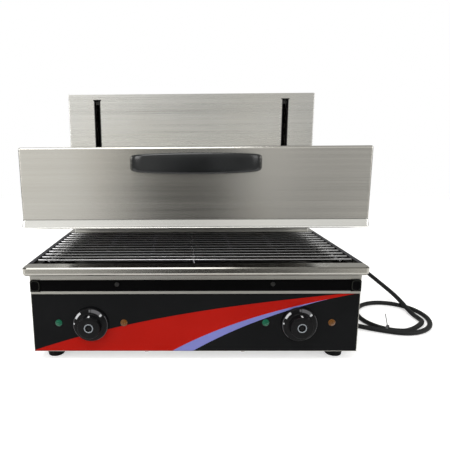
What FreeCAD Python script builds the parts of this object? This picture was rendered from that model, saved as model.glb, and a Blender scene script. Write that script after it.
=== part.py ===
import FreeCAD, Part
import math
import os

# Lift-top salamander grill, in millimetres: X to the right, Y away from the front, Z up.
# The origin is on the floor under the middle of the grill.

# Sheet metal
sheet = 1.2
fold = 10.0

# Base casing
casing_width = 589.0
casing_depth = 465.0
casing_front_y = -214.0
ground_gap = 20.0
panel_height = 111.0
rail_height = 4.0
tray_slot_height = 21.5
fascia_height = 10.5
pan_wall = 15.0
film_thickness = 0.3
film_margin = 1.0
shield_wall = 32.0

# Vents
vent_length = 42.0
vent_width = 4.0
vent_pitch = 12.0
pan_vent_count = 9
pan_vent_x = 150.0
rear_vent_count = 6
rear_vent_x = 165.0
rear_vent_drop = 100.0

# Rim, recess and well
rim_height = 16.0
rim_overhang = 8.0
rim_front_overhang = 16.0
rim_bevel = 1.8
rim_bevel_height = 2.2
rim_roll = 6.0
rim_corner = 8.0
rim_lap = 4.5
upstand_inset = 9.7
ledge_width = 11.8
ledge_drop = 5.0
front_flange = 28.0
well_depth = 286.0
well_wall = 25.0
column_ledge = 14.0

# Rack
wire_diameter = 5.0
wire_count = 12
wire_pitch = 22.4
first_wire_setback = 32.0
wire_end_gap = 1.5
weld_sink = 0.6
end_rod_inset = 9.0
rod_overhang = 4.0
tongue_length = 24.0
rest_gap = 0.3

# Drip tray
tray_side_gap = 0.4
tray_sheet = 1.0
tray_flange = 9.0
tray_rear_gap = 6.0
tray_corner = 8.0
tray_front_thickness = 2.0
tray_front_proud = 1.2
tray_screw_x = 138.5
tray_screw_drop = 8.0
runner_gap = 1.6
runner_drop = 13.0
end_post_width = 18.2
end_post_proud = 2.5
end_post_notch = 3.0

# Controls
knob_x = 188.0
knob_z = 73.8
knob_skirt_diameter = 63.0
knob_skirt_thickness = 3.2
knob_cap_diameter = 42.0
knob_cap_front = 40.0
knob_height = 22.0
knob_flutes = 20
flute_radius = 1.6
knob_badge_diameter = 17.0
knob_badge_depth = 0.8
knob_gap = 0.6
shaft_diameter = 6.0
shaft_clearance = 0.05
shaft_hole_gap = 2.0
thermostat_width = 40.0
thermostat_height = 46.0
thermostat_depth = 30.0
lamp_z = 76.9
lamp_outer_x = 246.5
lamp_inner_x = 127.5
lamp_diameter = 12.7
lamp_stem = 8.0
lamp_body_diameter = 11.0
lamp_proud = 2.4
lamp_body_length = 24.0

# Feet and screws
foot_diameter = 35.0
foot_taper = 2.5
foot_x = 264.5
foot_front_setback = 34.0
foot_rear_setback = 36.0
foot_wall = 10.0
screw_diameter = 4.0
screw_head = 8.0
screw_head_height = 2.0
screw_length = 7.0
panel_screw_rise = 3.4
panel_screw_x = 88.5

# Column
column_inset = 6.5
column_depth = 158.0
column_height = 327.0
cap_flange = 8.0
slot_inset = 67.7
slot_width = 12.5
slot_length = 247.0
slot_top_gap = 13.0
guide_wall = 1.15
guide_flange = 1.0
guide_proud = 0.8
guide_depth = 9.0
guide_head_width = 20.6
guide_head_height = 3.0

# Lift
lift_up = 125.0
lift_down = 45.0
rod_diameter = 16.0
rod_setback = 47.0
bush_diameter = 24.0
bush_length = 20.0
bush_flange = 2.0
bush_flange_diameter = 30.0
housing_width = 40.0
housing_height = 60.0
housing_rise = 52.0
carriage_plate = 4.0
carriage_height = 50.0
carriage_window_width = 76.0
carriage_window_margin = 12.0
carriage_window_pitch = 90.0
carriage_window_corner = 8.0
housing_corner = 5.0
arm_thickness = 8.0
arm_height = 50.0
arm_pad_width = 40.0
arm_pad_height = 80.0
arm_pad_thickness = 4.0
arm_pad_corner = 6.0
beam_height = 12.0
beam_sheet = 3.0
stop_diameter = 26.0
stop_height = 15.0
stop_gap = 1.0

# Counterbalance
weight_width = 250.0
weight_depth = 62.0
weight_height = 100.0
weight_setback = 70.0
weight_drop = 78.0
pulley_radius = 25.0
pulley_rim = 3.5
pulley_width = 14.0
pulley_offset = 10.0
pulley_drop = 43.5
axle_diameter = 8.0
cable_diameter = 3.0
cable_gap = 0.3
cable_hole = 4.6
lug_width = 16.0
lug_height = 10.0
lug_margin = 10.0
yoke_sheet = 3.0
yoke_gap = 3.0
yoke_width = 30.0
guide_angle = 20.0
guide_sheet = 2.0
weight_gap = 1.0

# Hood
hood_overhang = 7.5
hood_setback = 22.0
hood_column_gap = 7.0
grill_gap = 65.0
skirt_height = 14.8
skirt_flare = 2.0
skirt_straight = 4.0
skirt_roll = 3.5
skirt_return = 19.5
skirt_lip = 11.0
reveal = 1.2
hood_face = 125.0
hood_corner = 4.0
reflector_sheet = 1.0
reflector_height = 85.0
reflector_slope = 28.0
reflector_flange = 12.0
mouth_margin = 21.5
insulation_height = 34.0
insulation_margin = 4.0

# Heating elements
element_diameter = 8.0
element_height = 24.0
element_runs = 6
element_pitch = 40.0
element_middle_gap = 8.0
element_bend_inset = 20.0
element_tip = 16.0
terminal_diameter = 14.0
terminal_length = 7.0
element_hole_gap = 0.5
hanger_sheet = 1.5
hanger_height = 28.0
hanger_drop = 10.0
hanger_places = (90.0, 190.0)

# Handle
handle_length = 222.0
handle_reach = 45.0
handle_z_drop = 27.0
handle_height = 32.0
handle_end_height = 33.0
handle_end_drop = 4.0
handle_grip = 15.0
handle_foot = 20.0
handle_bend = 51.0
handle_shoulder_share = 0.55
handle_knuckle_radius = 22.0
handle_sweep_radius = 60.0
handle_inner_sweep = 40.0
handle_inner_knuckle = 6.0
handle_inner_inset = 8.0
handle_arch_radius = 300.0
handle_edge = 4.5
handle_screw_length = 16.0

# Cord
cord_diameter = 10.0
gland_x = 262.0
gland_z = 100.0
gland_flat = 26.0
gland_body = 8.0
gland_dome = 10.0
relief_length = 22.0
relief_start = 15.0
relief_end = 13.0
gland_neck = 16.0
run_share = 0.45
coil_centre = (451.6, -16.7)
coil_half_width = 67.0
coil_half_depth = 80.0
coil_tilt = -20.0
coil_growth = 11.0
coil_entry = (508.0, -26.0)
coil_entry_heading = -88.0
coil_join_angle = -50.0
coil_end_angle = -455.0
coil_step = 45.0
coil_straight = 10.0
cord_run_out = 20.0
tie_angle = -102.0
tie_width = 5.0
tie_thickness = 0.8
tie_slack = 0.15
tie_tail = 26.0
tie_lean = 6.0
plug_diameter = 36.0
plug_length = 42.0
plug_neck = 18.0
pin_diameter = 4.8
pin_length = 19.0
pin_spacing = 19.0

# Places that follow from the sizes above
casing_half = casing_width / 2
casing_back_y = casing_front_y + casing_depth
panel_top_z = ground_gap + panel_height
tray_slot_z = panel_top_z + rail_height
fascia_z = tray_slot_z + tray_slot_height
casing_top_z = fascia_z + fascia_height
rim_top_z = casing_top_z + rim_height
rim_half = casing_half + rim_overhang
rim_front_y = casing_front_y - rim_front_overhang
pan_z = ground_gap + sheet
inner_half = casing_half - sheet
recess_half = rim_half - upstand_inset
well_half = recess_half - ledge_width
well_front_y = rim_front_y + front_flange
well_rear_y = well_front_y + well_depth
ledge_z = rim_top_z - ledge_drop
well_bottom_z = rim_top_z - well_wall
wire_radius = wire_diameter / 2
wire_z = ledge_z + rest_gap + wire_radius
first_wire_y = well_front_y + first_wire_setback
last_wire_y = first_wire_y + (wire_count - 1) * wire_pitch
column_half = casing_half - column_inset
slot_x = column_half - slot_inset
column_front_y = casing_back_y - column_depth
column_top_z = rim_top_z + column_height
slot_top_z = column_top_z - slot_top_gap
slot_bottom_z = slot_top_z - slot_length
hood_half = casing_half + hood_overhang
hood_front_y = rim_front_y + hood_setback
hood_back_y = column_front_y - hood_column_gap
hood_bottom_z = rim_top_z + grill_gap
skirt_top_z = hood_bottom_z + skirt_height
shell_bottom_z = skirt_top_z + reveal
hood_top_z = shell_bottom_z + hood_face
rod_y = column_front_y + rod_setback
housing_z = hood_bottom_z + housing_rise
plate_front_y = rod_y - housing_width / 2 - carriage_plate
weight_front_y = column_front_y + weight_setback
pulley_x = weight_width / 2 + pulley_offset
fall_y = weight_front_y + weight_depth / 2
beam_top_z = column_top_z - sheet - cap_flange
upper_web_z = beam_top_z - beam_sheet
slide_top_z = housing_z + housing_height + bush_flange + lift_up
slide_bottom_z = housing_z - bush_flange - lift_down
lower_web_z = slide_bottom_z - stop_gap - stop_height
beam_half_depth = housing_width / 2
pulley_z = column_top_z - pulley_drop
weight_top_z = pulley_z - weight_drop
panel_face_y = casing_front_y - film_thickness
foot_front_y = casing_front_y + foot_front_setback
foot_rear_y = casing_back_y - foot_rear_setback
shield_z = panel_top_z + sheet
tray_floor_z = shield_z + sheet + 4.0
relief_end_y = casing_back_y + gland_body + gland_dome + relief_length

# The cord's free stretches, points chosen by hand along its lie
lead_route = [
    (262.0, relief_end_y, 100.0),
    (262.0, 340.0, 100.0),
    (297.0, 383.0, 99.0),
    (352.0, 392.0, 97.0),
    (400.0, 360.0, 93.0),
    (428.0, 302.0, 86.0),
    (449.0, 236.0, 73.0),
    (473.0, 165.0, 54.0),
    (491.0, 120.0, 37.0),
    (503.0, 82.0, 25.0),
    (506.0, 46.0, 17.0),
    (507.2, 18.0, 9.5),
]
tail_route = [
    (360.0, -75.0, 6.0),
    (340.0, -57.0, 7.0),
    (327.0, -33.0, 10.0),
    (323.0, -6.0, 15.0),
    (323.0, 20.0, 18.0),
]


def vec(x, y, z):
    return FreeCAD.Vector(x, y, z)


def box(x0, x1, y0, y1, z0, z1):
    return Part.makeBox(x1 - x0, y1 - y0, z1 - z0, vec(x0, y0, z0))


def rod(radius, length, start, direction):
    return Part.makeCylinder(radius, length, vec(*start), vec(*direction))


def fuse(shapes):
    joined = shapes[0].multiFuse(shapes[1:])
    return joined.removeSplitter()


def cut(shape, tools):
    return shape.cut(Part.makeCompound(tools))


def mirrored(shape):
    return shape.mirror(vec(0, 0, 0), vec(1, 0, 0))


def pair(shape):
    return Part.makeCompound([mirrored(shape), shape])


def moved(shape, x, y, z):
    copy = shape.copy()
    copy.translate(vec(x, y, z))
    return copy


def corner_path(points, radii, closed):
    """Straight runs through the points, with a tangent arc of the given radius at each corner."""
    count = len(points)
    edges = []
    cursor = None
    first = None
    for i, point in enumerate(points):
        radius = radii[i]
        if radius == 0 or (not closed and i in (0, count - 1)):
            enter, leave, middle = point, point, None
        else:
            back = (points[i - 1] - point).normalize()
            ahead = (points[(i + 1) % count] - point).normalize()
            half_angle = back.getAngle(ahead) / 2
            reach = radius / math.tan(half_angle)
            inward = (back + ahead).normalize()
            enter = point + back * reach
            leave = point + ahead * reach
            middle = point + inward * (radius / math.sin(half_angle) - radius)
        if cursor is not None and (enter - cursor).Length > 1e-6:
            edges.append(Part.LineSegment(cursor, enter).toShape())
        if middle is not None:
            edges.append(Part.Arc(enter, middle, leave).toShape())
        if first is None:
            first = enter
        cursor = leave
    if closed and (first - cursor).Length > 1e-6:
        edges.append(Part.LineSegment(cursor, first).toShape())
    return Part.Wire(edges)


def prism(points, radii, direction):
    """A closed outline with rounded corners, pushed along a direction."""
    outline = corner_path([vec(*p) for p in points], radii, True)
    return Part.Face(outline).extrude(vec(*direction))


def section_x(points, x0, x1, radius=0.0):
    outline = [(x0, y, z) for y, z in points]
    return prism(outline, [radius] * len(points), (x1 - x0, 0, 0))


def section_y(points, y0, y1, radius=0.0):
    outline = [(x, y0, z) for x, z in points]
    return prism(outline, [radius] * len(points), (0, y1 - y0, 0))


def section_z(points, z0, z1, radius=0.0):
    outline = [(x, y, z0) for x, y in points]
    return prism(outline, [radius] * len(points), (0, 0, z1 - z0))


def line_edges(shape, direction, chosen):
    """The straight edges along a direction whose middle passes the test."""
    found = []
    for edge in shape.Edges:
        if len(edge.Vertexes) != 2:
            continue
        run = edge.Vertexes[1].Point - edge.Vertexes[0].Point
        if abs(run.Length - edge.Length) > 1e-6:
            continue
        if abs(abs(run.normalize().dot(vec(*direction))) - 1) < 1e-6 and chosen(edge.CenterOfMass):
            found.append(edge)
    return found


def outline_at(half, front, back, radius, z, back_radius=0.0):
    corners = [vec(-half, back, z), vec(-half, front, z), vec(half, front, z), vec(half, back, z)]
    return corner_path(corners, [back_radius, radius, radius, back_radius], True)


def stadium_y(x, z, length, width, y0, y1):
    """A slot with round ends, lying along X and cut through in Y."""
    half, end = length / 2, width / 2
    points = [(x - half, z - end), (x + half, z - end), (x + half, z + end), (x - half, z + end)]
    return section_y(points, y0, y1, end * 0.98)


def revolved(points, radii, centre, axis):
    """A half outline of (radius, height) points, turned about an axis through the centre."""
    flat = corner_path([vec(r, 0, h) for r, h in points], radii, True)
    solid = Part.Face(flat).revolve(vec(0, 0, 0), vec(0, 0, 1), 360)
    turn = FreeCAD.Rotation(vec(0, 0, 1), vec(*axis))
    solid.Placement = FreeCAD.Placement(vec(*centre), turn)
    return solid


def screw(centre, outward, length=screw_length, rise=screw_head_height):
    """A pan-head screw whose head sits on the face at the centre and points outward."""
    radius, head = screw_diameter / 2, screw_head / 2
    points = [
        (0, -length), (radius, -length), (radius, 0),
        (head, 0), (head, rise), (0, rise),
    ]
    return revolved(points, [0, 0, 0, 0, 1.0, 0], centre, outward)


def drilled(shape, places):
    """The shape with a hole for the shank of each screw."""
    holes = []
    for centre, outward in places:
        start = vec(*centre) - vec(*outward) * (screw_length + 1)
        holes.append(Part.makeCylinder(screw_diameter / 2, screw_length + 2, start, vec(*outward)))
    return cut(shape, holes)


# Base casing

def folded_front(z0, z1):
    """A front plate with its top and bottom edges folded back, notched at both ends."""
    y0 = casing_front_y
    block = box(-casing_half, casing_half, y0, y0 + fold, z0, z1)
    inner = box(-casing_half - 1, casing_half + 1, y0 + sheet, y0 + fold + 1, z0 + sheet, z1 - sheet)
    plate = block.cut(inner)
    notch = box(inner_half - fold - 1, casing_half + 1, y0 + sheet, y0 + fold + 1, z0 - 1, z1 + 1)
    return cut(plate, [notch, mirrored(notch)])


def panel_holes():
    """Holes for the two shafts and the four lamp stems."""
    holes = []
    for side in (-1, 1):
        start = (side * knob_x, casing_front_y - 2, knob_z)
        holes.append(rod(shaft_diameter / 2 + shaft_hole_gap, sheet + 4, start, (0, 1, 0)))
        for x in (lamp_outer_x, lamp_inner_x):
            start = (side * x, casing_front_y - 2, lamp_z)
            holes.append(rod(lamp_stem / 2, sheet + 4, start, (0, 1, 0)))
    return holes


def panel_screw_places():
    y = casing_front_y + sheet + (fold - sheet) / 2
    return [((side * panel_screw_x, y, ground_gap), (0, 0, -1)) for side in (-1, 1)]


def control_panel():
    plate = cut(folded_front(ground_gap, panel_top_z), panel_holes())
    return drilled(plate, panel_screw_places())


def front_film():
    half = casing_half - film_margin
    film = box(-half, half, panel_face_y, casing_front_y, ground_gap + film_margin, panel_top_z - film_margin)
    return cut(film, panel_holes())


def tray_slot_half():
    return casing_half - end_post_width


def tray_surround():
    plate = folded_front(panel_top_z, casing_top_z)
    half = tray_slot_half()
    opening = box(-half, half, casing_front_y - 1, casing_front_y + fold + 1, tray_slot_z, fascia_z)
    return cut(plate, [opening])


def end_post():
    x0 = tray_slot_half()
    points = [
        (x0, tray_slot_z), (casing_half, tray_slot_z),
        (casing_half, fascia_z - end_post_notch), (casing_half - end_post_notch, fascia_z), (x0, fascia_z),
    ]
    post = section_y(points, casing_front_y - end_post_proud, casing_front_y)
    edges = line_edges(post, (0, 0, 1), lambda p: p.y < casing_front_y - end_post_proud + 0.1)
    return post.makeFillet(1.2, edges)


def foot_places():
    return [(side * foot_x, y) for side in (-1, 1) for y in (foot_front_y, foot_rear_y)]


def vent_places_in_pan():
    return [(side * pan_vent_x, row * vent_pitch) for side in (-1, 1)
            for row in range(-(pan_vent_count // 2), pan_vent_count // 2 + 1)]


def base_pan():
    y0, y1 = casing_front_y + 2 * sheet, casing_back_y - 2 * sheet
    block = box(-inner_half, inner_half, y0, y1, pan_z, pan_z + pan_wall)
    inner = box(-inner_half + sheet, inner_half - sheet, y0 + sheet, y1 - sheet, pan_z + sheet, pan_z + pan_wall + 1)
    pan = block.cut(inner)
    tools = [box(x - vent_length / 2, x + vent_length / 2, y - vent_width / 2, y + vent_width / 2,
                 pan_z - 1, pan_z + sheet + 1) for x, y in vent_places_in_pan()]
    tools += [rod(screw_diameter / 2, sheet + 2, (x, y, pan_z - 1), (0, 0, 1)) for x, y in foot_places()]
    return drilled(cut(pan, tools), panel_screw_places() + base_rear_screw_places())


def side_panel():
    """The right side: a web with its front and rear edges folded inwards."""
    y0, y1 = casing_front_y + sheet, casing_back_y - sheet
    x0 = inner_half - fold
    block = box(x0, casing_half, y0, y1, ground_gap, casing_top_z)
    inner = box(x0 - 1, inner_half, y0 + sheet, y1 - sheet, ground_gap - 1, casing_top_z + 1)
    return drilled(block.cut(inner), base_rear_screw_places())


def base_rear_screw_places():
    places = []
    for side in (-1, 1):
        for z in (pan_z + pan_wall * 0.5, (pan_z + casing_top_z) / 2, casing_top_z - fold):
            places.append(((side * (inner_half - fold / 2), casing_back_y, z), (0, 1, 0)))
    return places


def rear_vents(z_low, y0, y1):
    return [stadium_y(side * x, z_low + row * vent_pitch, vent_length, vent_width, y0, y1)
            for side in (-1, 1) for x in (rear_vent_x - 28.0, rear_vent_x + 28.0)
            for row in range(rear_vent_count)]


def base_rear_panel():
    y0 = casing_back_y - sheet
    panel = box(-casing_half, casing_half, y0, casing_back_y, ground_gap, casing_top_z)
    tools = [rod(gland_neck / 2, sheet + 2, (gland_x, y0 - 1, gland_z), (0, 1, 0))]
    tools += [stadium_y(x, pan_z + 45.0 + row * vent_pitch, vent_length, vent_width, y0 - 1, casing_back_y + 1)
              for x in (-28.0, 28.0) for row in range(rear_vent_count)]
    return drilled(cut(panel, tools), base_rear_screw_places())


def heat_shield():
    """The pan under the tray, with side and rear walls that lap outside the well."""
    half = well_half + 2 * sheet
    y0, y1 = casing_front_y + sheet, well_rear_y + 2 * sheet
    block = box(-half, half, y0, y1, shield_z, shield_z + shield_wall)
    inner = box(-half + sheet, half - sheet, y0 - 1, y1 - sheet, shield_z + sheet, shield_z + shield_wall + 1)
    pan = block.cut(inner)
    corner = box(inner_half - fold, casing_half, y0 - 1, y0 + sheet, shield_z - 1, casing_top_z)
    return cut(pan, [corner, mirrored(corner)])


def tray_runner():
    """The right-hand angle that carries the tray's flange."""
    top = runner_top()
    outer, inner = well_half + sheet, tray_half() + runner_gap
    y0, y1 = casing_front_y + fold + 1, well_rear_y
    points = [
        (outer, top - runner_drop), (outer, top), (inner, top),
        (inner, top - sheet), (outer - sheet, top - sheet), (outer - sheet, top - runner_drop),
    ]
    return section_y(points, y0, y1)


def feet():
    solids = []
    for x, y in foot_places():
        top, bottom = foot_diameter / 2, foot_diameter / 2 - foot_taper
        recess = screw_head / 2 + 1
        points = [
            (screw_diameter / 2, pan_z), (top, pan_z), (bottom, 0), (recess, 0),
            (recess, pan_z - foot_wall), (screw_diameter / 2, pan_z - foot_wall),
        ]
        solids.append(revolved(points, [0, 1.0, 1.5, 0, 0, 0], (x, y, 0), (0, 0, 1)))
    return Part.makeCompound(solids)


def base_screws():
    solids = [screw(*place, rise=panel_screw_rise) for place in panel_screw_places()]
    solids += [screw(*place) for place in base_rear_screw_places() + column_rear_screw_places()]
    for x, y in foot_places():
        solids.append(screw((x, y, pan_z - foot_wall), (0, 0, -1), foot_wall + sheet + 3.0))
    return Part.makeCompound(solids)


# Rim, rack and tray

def rim_outline(inset, z):
    return outline_at(rim_half - inset, rim_front_y + inset, casing_back_y, rim_corner, z)


def rim_body(inset, top_drop):
    """The rim's outer form, or with an inset the hollow inside it."""
    shoulder = rim_top_z - rim_bevel_height
    top = rim_top_z - top_drop
    low = casing_top_z + inset
    slope = rim_bevel * (1 - top_drop / rim_bevel_height)
    cone = Part.makeLoft([rim_outline(inset, shoulder), rim_outline(inset + slope, top)], True, True)
    wall = Part.Face(rim_outline(inset, low)).extrude(vec(0, 0, shoulder - low))
    body = fuse([cone, wall])
    edges = [e for e in body.Edges if abs(e.BoundBox.ZMax - low) < 1e-6 and e.CenterOfMass.y < casing_back_y - 1]
    return body.makeFillet(rim_roll - inset, edges)


def top_frame():
    hollow = rim_body(sheet, sheet)
    hollow = hollow.common(box(-rim_half, rim_half, rim_front_y, casing_back_y - sheet, casing_top_z, rim_top_z))
    dish = rim_body(0.0, 0.0).cut(hollow)
    lap = rim_half - rim_overhang - rim_lap
    mouth = box(-lap, lap, casing_front_y - sheet + rim_lap, casing_back_y - sheet, casing_top_z - 1, casing_top_z + sheet + 1)
    recess = box(-recess_half, recess_half, well_front_y, well_rear_y, ledge_z, rim_top_z + 1)
    well = box(-well_half, well_half, well_front_y, well_rear_y, well_bottom_z - 1, rim_top_z)
    upstand = box(-recess_half - sheet, recess_half + sheet, well_front_y - sheet, well_rear_y + sheet,
                  ledge_z - sheet, rim_top_z)
    skirt = box(-well_half - sheet, well_half + sheet, well_front_y - sheet, well_rear_y + sheet,
                well_bottom_z, ledge_z)
    shaft = box(-column_half + column_ledge, column_half - column_ledge, column_front_y + column_ledge,
                casing_back_y - column_ledge, casing_top_z - 1, rim_top_z + 1)
    return cut(fuse([dish.cut(mouth), upstand, skirt]), [recess, well, shaft])


def wire_rack():
    """Cross wires that bear on the ledges, welded on three rods that hang inside the well."""
    half = recess_half - wire_end_gap
    wires = [rod(wire_radius, 2 * half, (-half, first_wire_y + i * wire_pitch, wire_z), (1, 0, 0))
             for i in range(wire_count)]
    rod_z = wire_z - wire_diameter + weld_sink
    span = last_wire_y - first_wire_y + 2 * rod_overhang
    edge_x = well_half - end_rod_inset
    for x in (-edge_x, edge_x):
        wires.append(rod(wire_radius, span, (x, first_wire_y - rod_overhang, rod_z), (0, 1, 0)))
    route = [
        vec(0, last_wire_y + rod_overhang, rod_z), vec(0, first_wire_y - tongue_length, rod_z),
        vec(0, first_wire_y - tongue_length - 3.0, rod_z - 9.0),
    ]
    wires.append(tube(corner_path(route, [0, 6.0, 0], False), wire_radius))
    return fuse(wires)


def runner_top():
    return tray_slot_z + tray_slot_height - 3.4


def tray_flange_half():
    return tray_slot_half() - tray_side_gap


def tray_half():
    return tray_flange_half() - tray_flange


def drip_tray():
    """A pressed pan with side flanges that ride on the runners."""
    half = tray_half()
    front = casing_front_y + tray_front_thickness - tray_front_proud
    rear = well_rear_y - tray_rear_gap
    top = runner_top() + rest_gap + tray_sheet
    outer = section_z([(-half, front), (half, front), (half, rear), (-half, rear)], tray_floor_z, top, tray_corner)
    reach = half - tray_sheet
    points = [(-reach, front + tray_sheet), (reach, front + tray_sheet),
              (reach, rear - tray_sheet), (-reach, rear - tray_sheet)]
    inner = section_z(points, tray_floor_z + tray_sheet, top + 1, tray_corner - tray_sheet)
    lip = tray_flange_half()
    flange = box(-lip, lip, casing_front_y + fold + 2, rear - tray_corner, top - tray_sheet, top)
    holes = [rod(screw_diameter / 2, tray_sheet + 2, (side * tray_screw_x, front - 1, tray_screw_z()), (0, 1, 0))
             for side in (-1, 1)]
    return cut(fuse([outer, flange]), [inner] + holes)


def tray_screw_z():
    return fascia_z - tray_screw_drop


def tray_front():
    """The black front strip of the tray, with a finger groove under its top edge."""
    half = tray_flange_half()
    y0 = casing_front_y - tray_front_proud
    y1 = y0 + tray_front_thickness
    z0, z1 = tray_slot_z + tray_side_gap, fascia_z - tray_side_gap
    points = [(y0 + 0.6, z0), (y1, z0), (y1, z1), (y0 + 0.6, z1), (y0, z1 - 0.8), (y0, z0 + 0.8)]
    strip = section_x(points, -half, half)
    holes = [rod(screw_diameter / 2, tray_front_thickness + 2, (side * tray_screw_x, y0 - 1, tray_screw_z()), (0, 1, 0))
             for side in (-1, 1)]
    return cut(strip, holes)


def tray_screws():
    y = casing_front_y - tray_front_proud
    return Part.makeCompound([screw((side * tray_screw_x, y, tray_screw_z()), (0, -1, 0)) for side in (-1, 1)])


# Controls

def knob(side):
    """A skirted dial with a fluted, tapered cap, a pointer groove and a round front recess."""
    skirt, cap, front = knob_skirt_diameter / 2, knob_cap_diameter / 2, knob_cap_front / 2
    badge, bore = knob_badge_diameter / 2, shaft_diameter / 2
    socket = knob_height * 0.6
    points = [
        (bore, 0), (skirt, 0), (skirt, 1.2), (skirt - 2.0, knob_skirt_thickness), (cap, knob_skirt_thickness),
        (front, knob_height), (badge, knob_height), (badge, knob_height - knob_badge_depth),
        (0, knob_height - knob_badge_depth), (0, socket), (bore, socket),
    ]
    body = revolved(points, [0, 0.6, 0.5, 0.5, 1.5, 2.0, 0, 0, 0, 0, 0], (0, 0, 0), (0, 0, 1))
    flutes = []
    for i in range(knob_flutes):
        angle = 2 * math.pi * (i + 0.5) / knob_flutes
        foot = vec(math.cos(angle) * (cap + 0.5), math.sin(angle) * (cap + 0.5), knob_skirt_thickness + 1.5)
        lean = vec(math.cos(angle) * (front - cap), math.sin(angle) * (front - cap), knob_height - knob_skirt_thickness)
        flutes.append(Part.makeCylinder(flute_radius, knob_height, foot, lean))
    groove = box(-0.8, 0.8, cap - 6.0, cap + 1.0, knob_height - 1.0, knob_height + 1)
    body = cut(body, flutes + [groove])
    body.Placement = FreeCAD.Placement(vec(side * knob_x, panel_face_y - knob_gap, knob_z),
                                       FreeCAD.Rotation(vec(1, 0, 0), 90))
    return body


def shaft(side):
    start = panel_face_y - knob_gap - knob_height * 0.6
    end = casing_front_y + sheet + thermostat_depth * 0.5
    return rod(shaft_diameter / 2, end - start, (side * knob_x, start, knob_z), (0, 1, 0))


def thermostats():
    solids = []
    y0 = casing_front_y + sheet
    for side in (-1, 1):
        x = side * knob_x
        half_w, half_h = thermostat_width / 2, thermostat_height / 2
        body = box(x - half_w, x + half_w, y0, y0 + thermostat_depth, knob_z - half_h, knob_z + half_h)
        body = body.makeChamfer(3.0, line_edges(body, (0, 1, 0), lambda p: True))
        tabs = [box(x + dx - 3, x + dx + 3, y0 + thermostat_depth, y0 + thermostat_depth + 9, knob_z + dz - 0.4,
                    knob_z + dz + 0.4) for dx in (-11, 11) for dz in (-13, 13)]
        bore = rod(shaft_diameter / 2 + shaft_clearance, thermostat_depth * 0.5 + 1, (x, y0 - 0.5, knob_z), (0, 1, 0))
        solids.append(fuse([body] + tabs).cut(bore))
    return Part.makeCompound(solids)


def lens(x):
    head, stem = lamp_diameter / 2, lamp_stem / 2
    back = casing_front_y + sheet + 8.0 - panel_face_y
    points = [(0, -back), (stem, -back), (stem, 0), (head, 0), (head, lamp_proud), (0, lamp_proud)]
    return revolved(points, [0, 0, 0, 0, 1.0, 0], (x, panel_face_y, lamp_z), (0, -1, 0))


def lenses(places):
    return Part.makeCompound([lens(x) for x in places])


def lamp_bodies():
    solids = []
    y0 = casing_front_y + sheet
    outer, stem, nut = lamp_body_diameter / 2, lamp_stem / 2, lamp_diameter / 2
    for x in (-lamp_outer_x, -lamp_inner_x, lamp_inner_x, lamp_outer_x):
        points = [
            (stem, 0), (nut, 0), (nut, 4.0), (outer, 4.0), (outer, lamp_body_length),
            (0, lamp_body_length), (0, 8.0), (stem, 8.0),
        ]
        solids.append(revolved(points, [0] * 8, (x, y0, lamp_z), (0, 1, 0)))
    return Part.makeCompound(solids)


def terminal_block():
    """A three-pole ceramic block on the pan, beside the cable entry."""
    x0, y0, z0 = gland_x - 90.0, casing_back_y - 70.0, pan_z + sheet
    body = box(x0, x0 + 54, y0, y0 + 24, z0, z0 + 20)
    ribs = [box(x0 + 17 * i + 1, x0 + 17 * i + 3, y0, y0 + 24, z0 + 20, z0 + 26) for i in range(4)]
    wells = [rod(3.2, 8, (x0 + 17 * i + 10.5, y0 + 12, z0 + 13), (0, 0, 1)) for i in range(3)]
    return cut(fuse([body] + ribs), wells)


# Column

def column_front():
    """Front and sides of the column in one folded sheet, with the two long slots."""
    y0, y1 = column_front_y, casing_back_y - sheet
    z1 = column_top_z - sheet
    inner_x = column_half - sheet
    block = box(-column_half, column_half, y0, y1, rim_top_z, z1)
    front_fold = block.makeFillet(2.0, line_edges(block, (0, 0, 1), lambda p: p.y < y0 + 1))
    hollow = box(-inner_x, inner_x, y0 + sheet, y1 - sheet, rim_top_z + sheet, z1 + 1)
    mouth = box(-inner_x + fold, inner_x - fold, y0 + fold, y1 + 1, rim_top_z - 1, z1 + 1)
    slots = [box(side * slot_x - slot_width / 2, side * slot_x + slot_width / 2, y0 - 1, y0 + sheet + 1,
                 slot_bottom_z, slot_top_z) for side in (-1, 1)]
    return drilled(cut(front_fold, [hollow, mouth] + slots), column_rear_screw_places())


def column_rear_screw_places():
    places = []
    low, high = rim_top_z + fold, column_top_z - 2 * fold
    for side in (-1, 1):
        for i in range(4):
            z = low + (high - low) * i / 3
            places.append(((side * (column_half - sheet - fold / 2), casing_back_y, z), (0, 1, 0)))
    return places


def column_rear():
    y0 = casing_back_y - sheet
    panel = box(-column_half, column_half, y0, casing_back_y, rim_top_z, column_top_z - sheet)
    panel = cut(panel, rear_vents(column_top_z - rear_vent_drop, y0 - 1, casing_back_y + 1))
    return drilled(panel, column_rear_screw_places())


def column_top():
    """A cap with flanges that drop inside the column."""
    z0 = column_top_z - sheet
    inner_x, y0, y1 = column_half - sheet, column_front_y + sheet, casing_back_y - 2 * sheet
    lid = box(-column_half, column_half, column_front_y, casing_back_y, z0, column_top_z)
    edges = line_edges(lid, (0, 0, 1), lambda p: p.y < column_front_y + 1)
    lid = lid.makeFillet(2.0, edges)
    rim = box(-inner_x, inner_x, y0, y1, z0 - cap_flange, z0)
    hollow = box(-inner_x + sheet, inner_x - sheet, y0 + sheet, y1 - sheet, z0 - cap_flange - 1, z0)
    return fuse([lid, rim.cut(hollow)])


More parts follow.
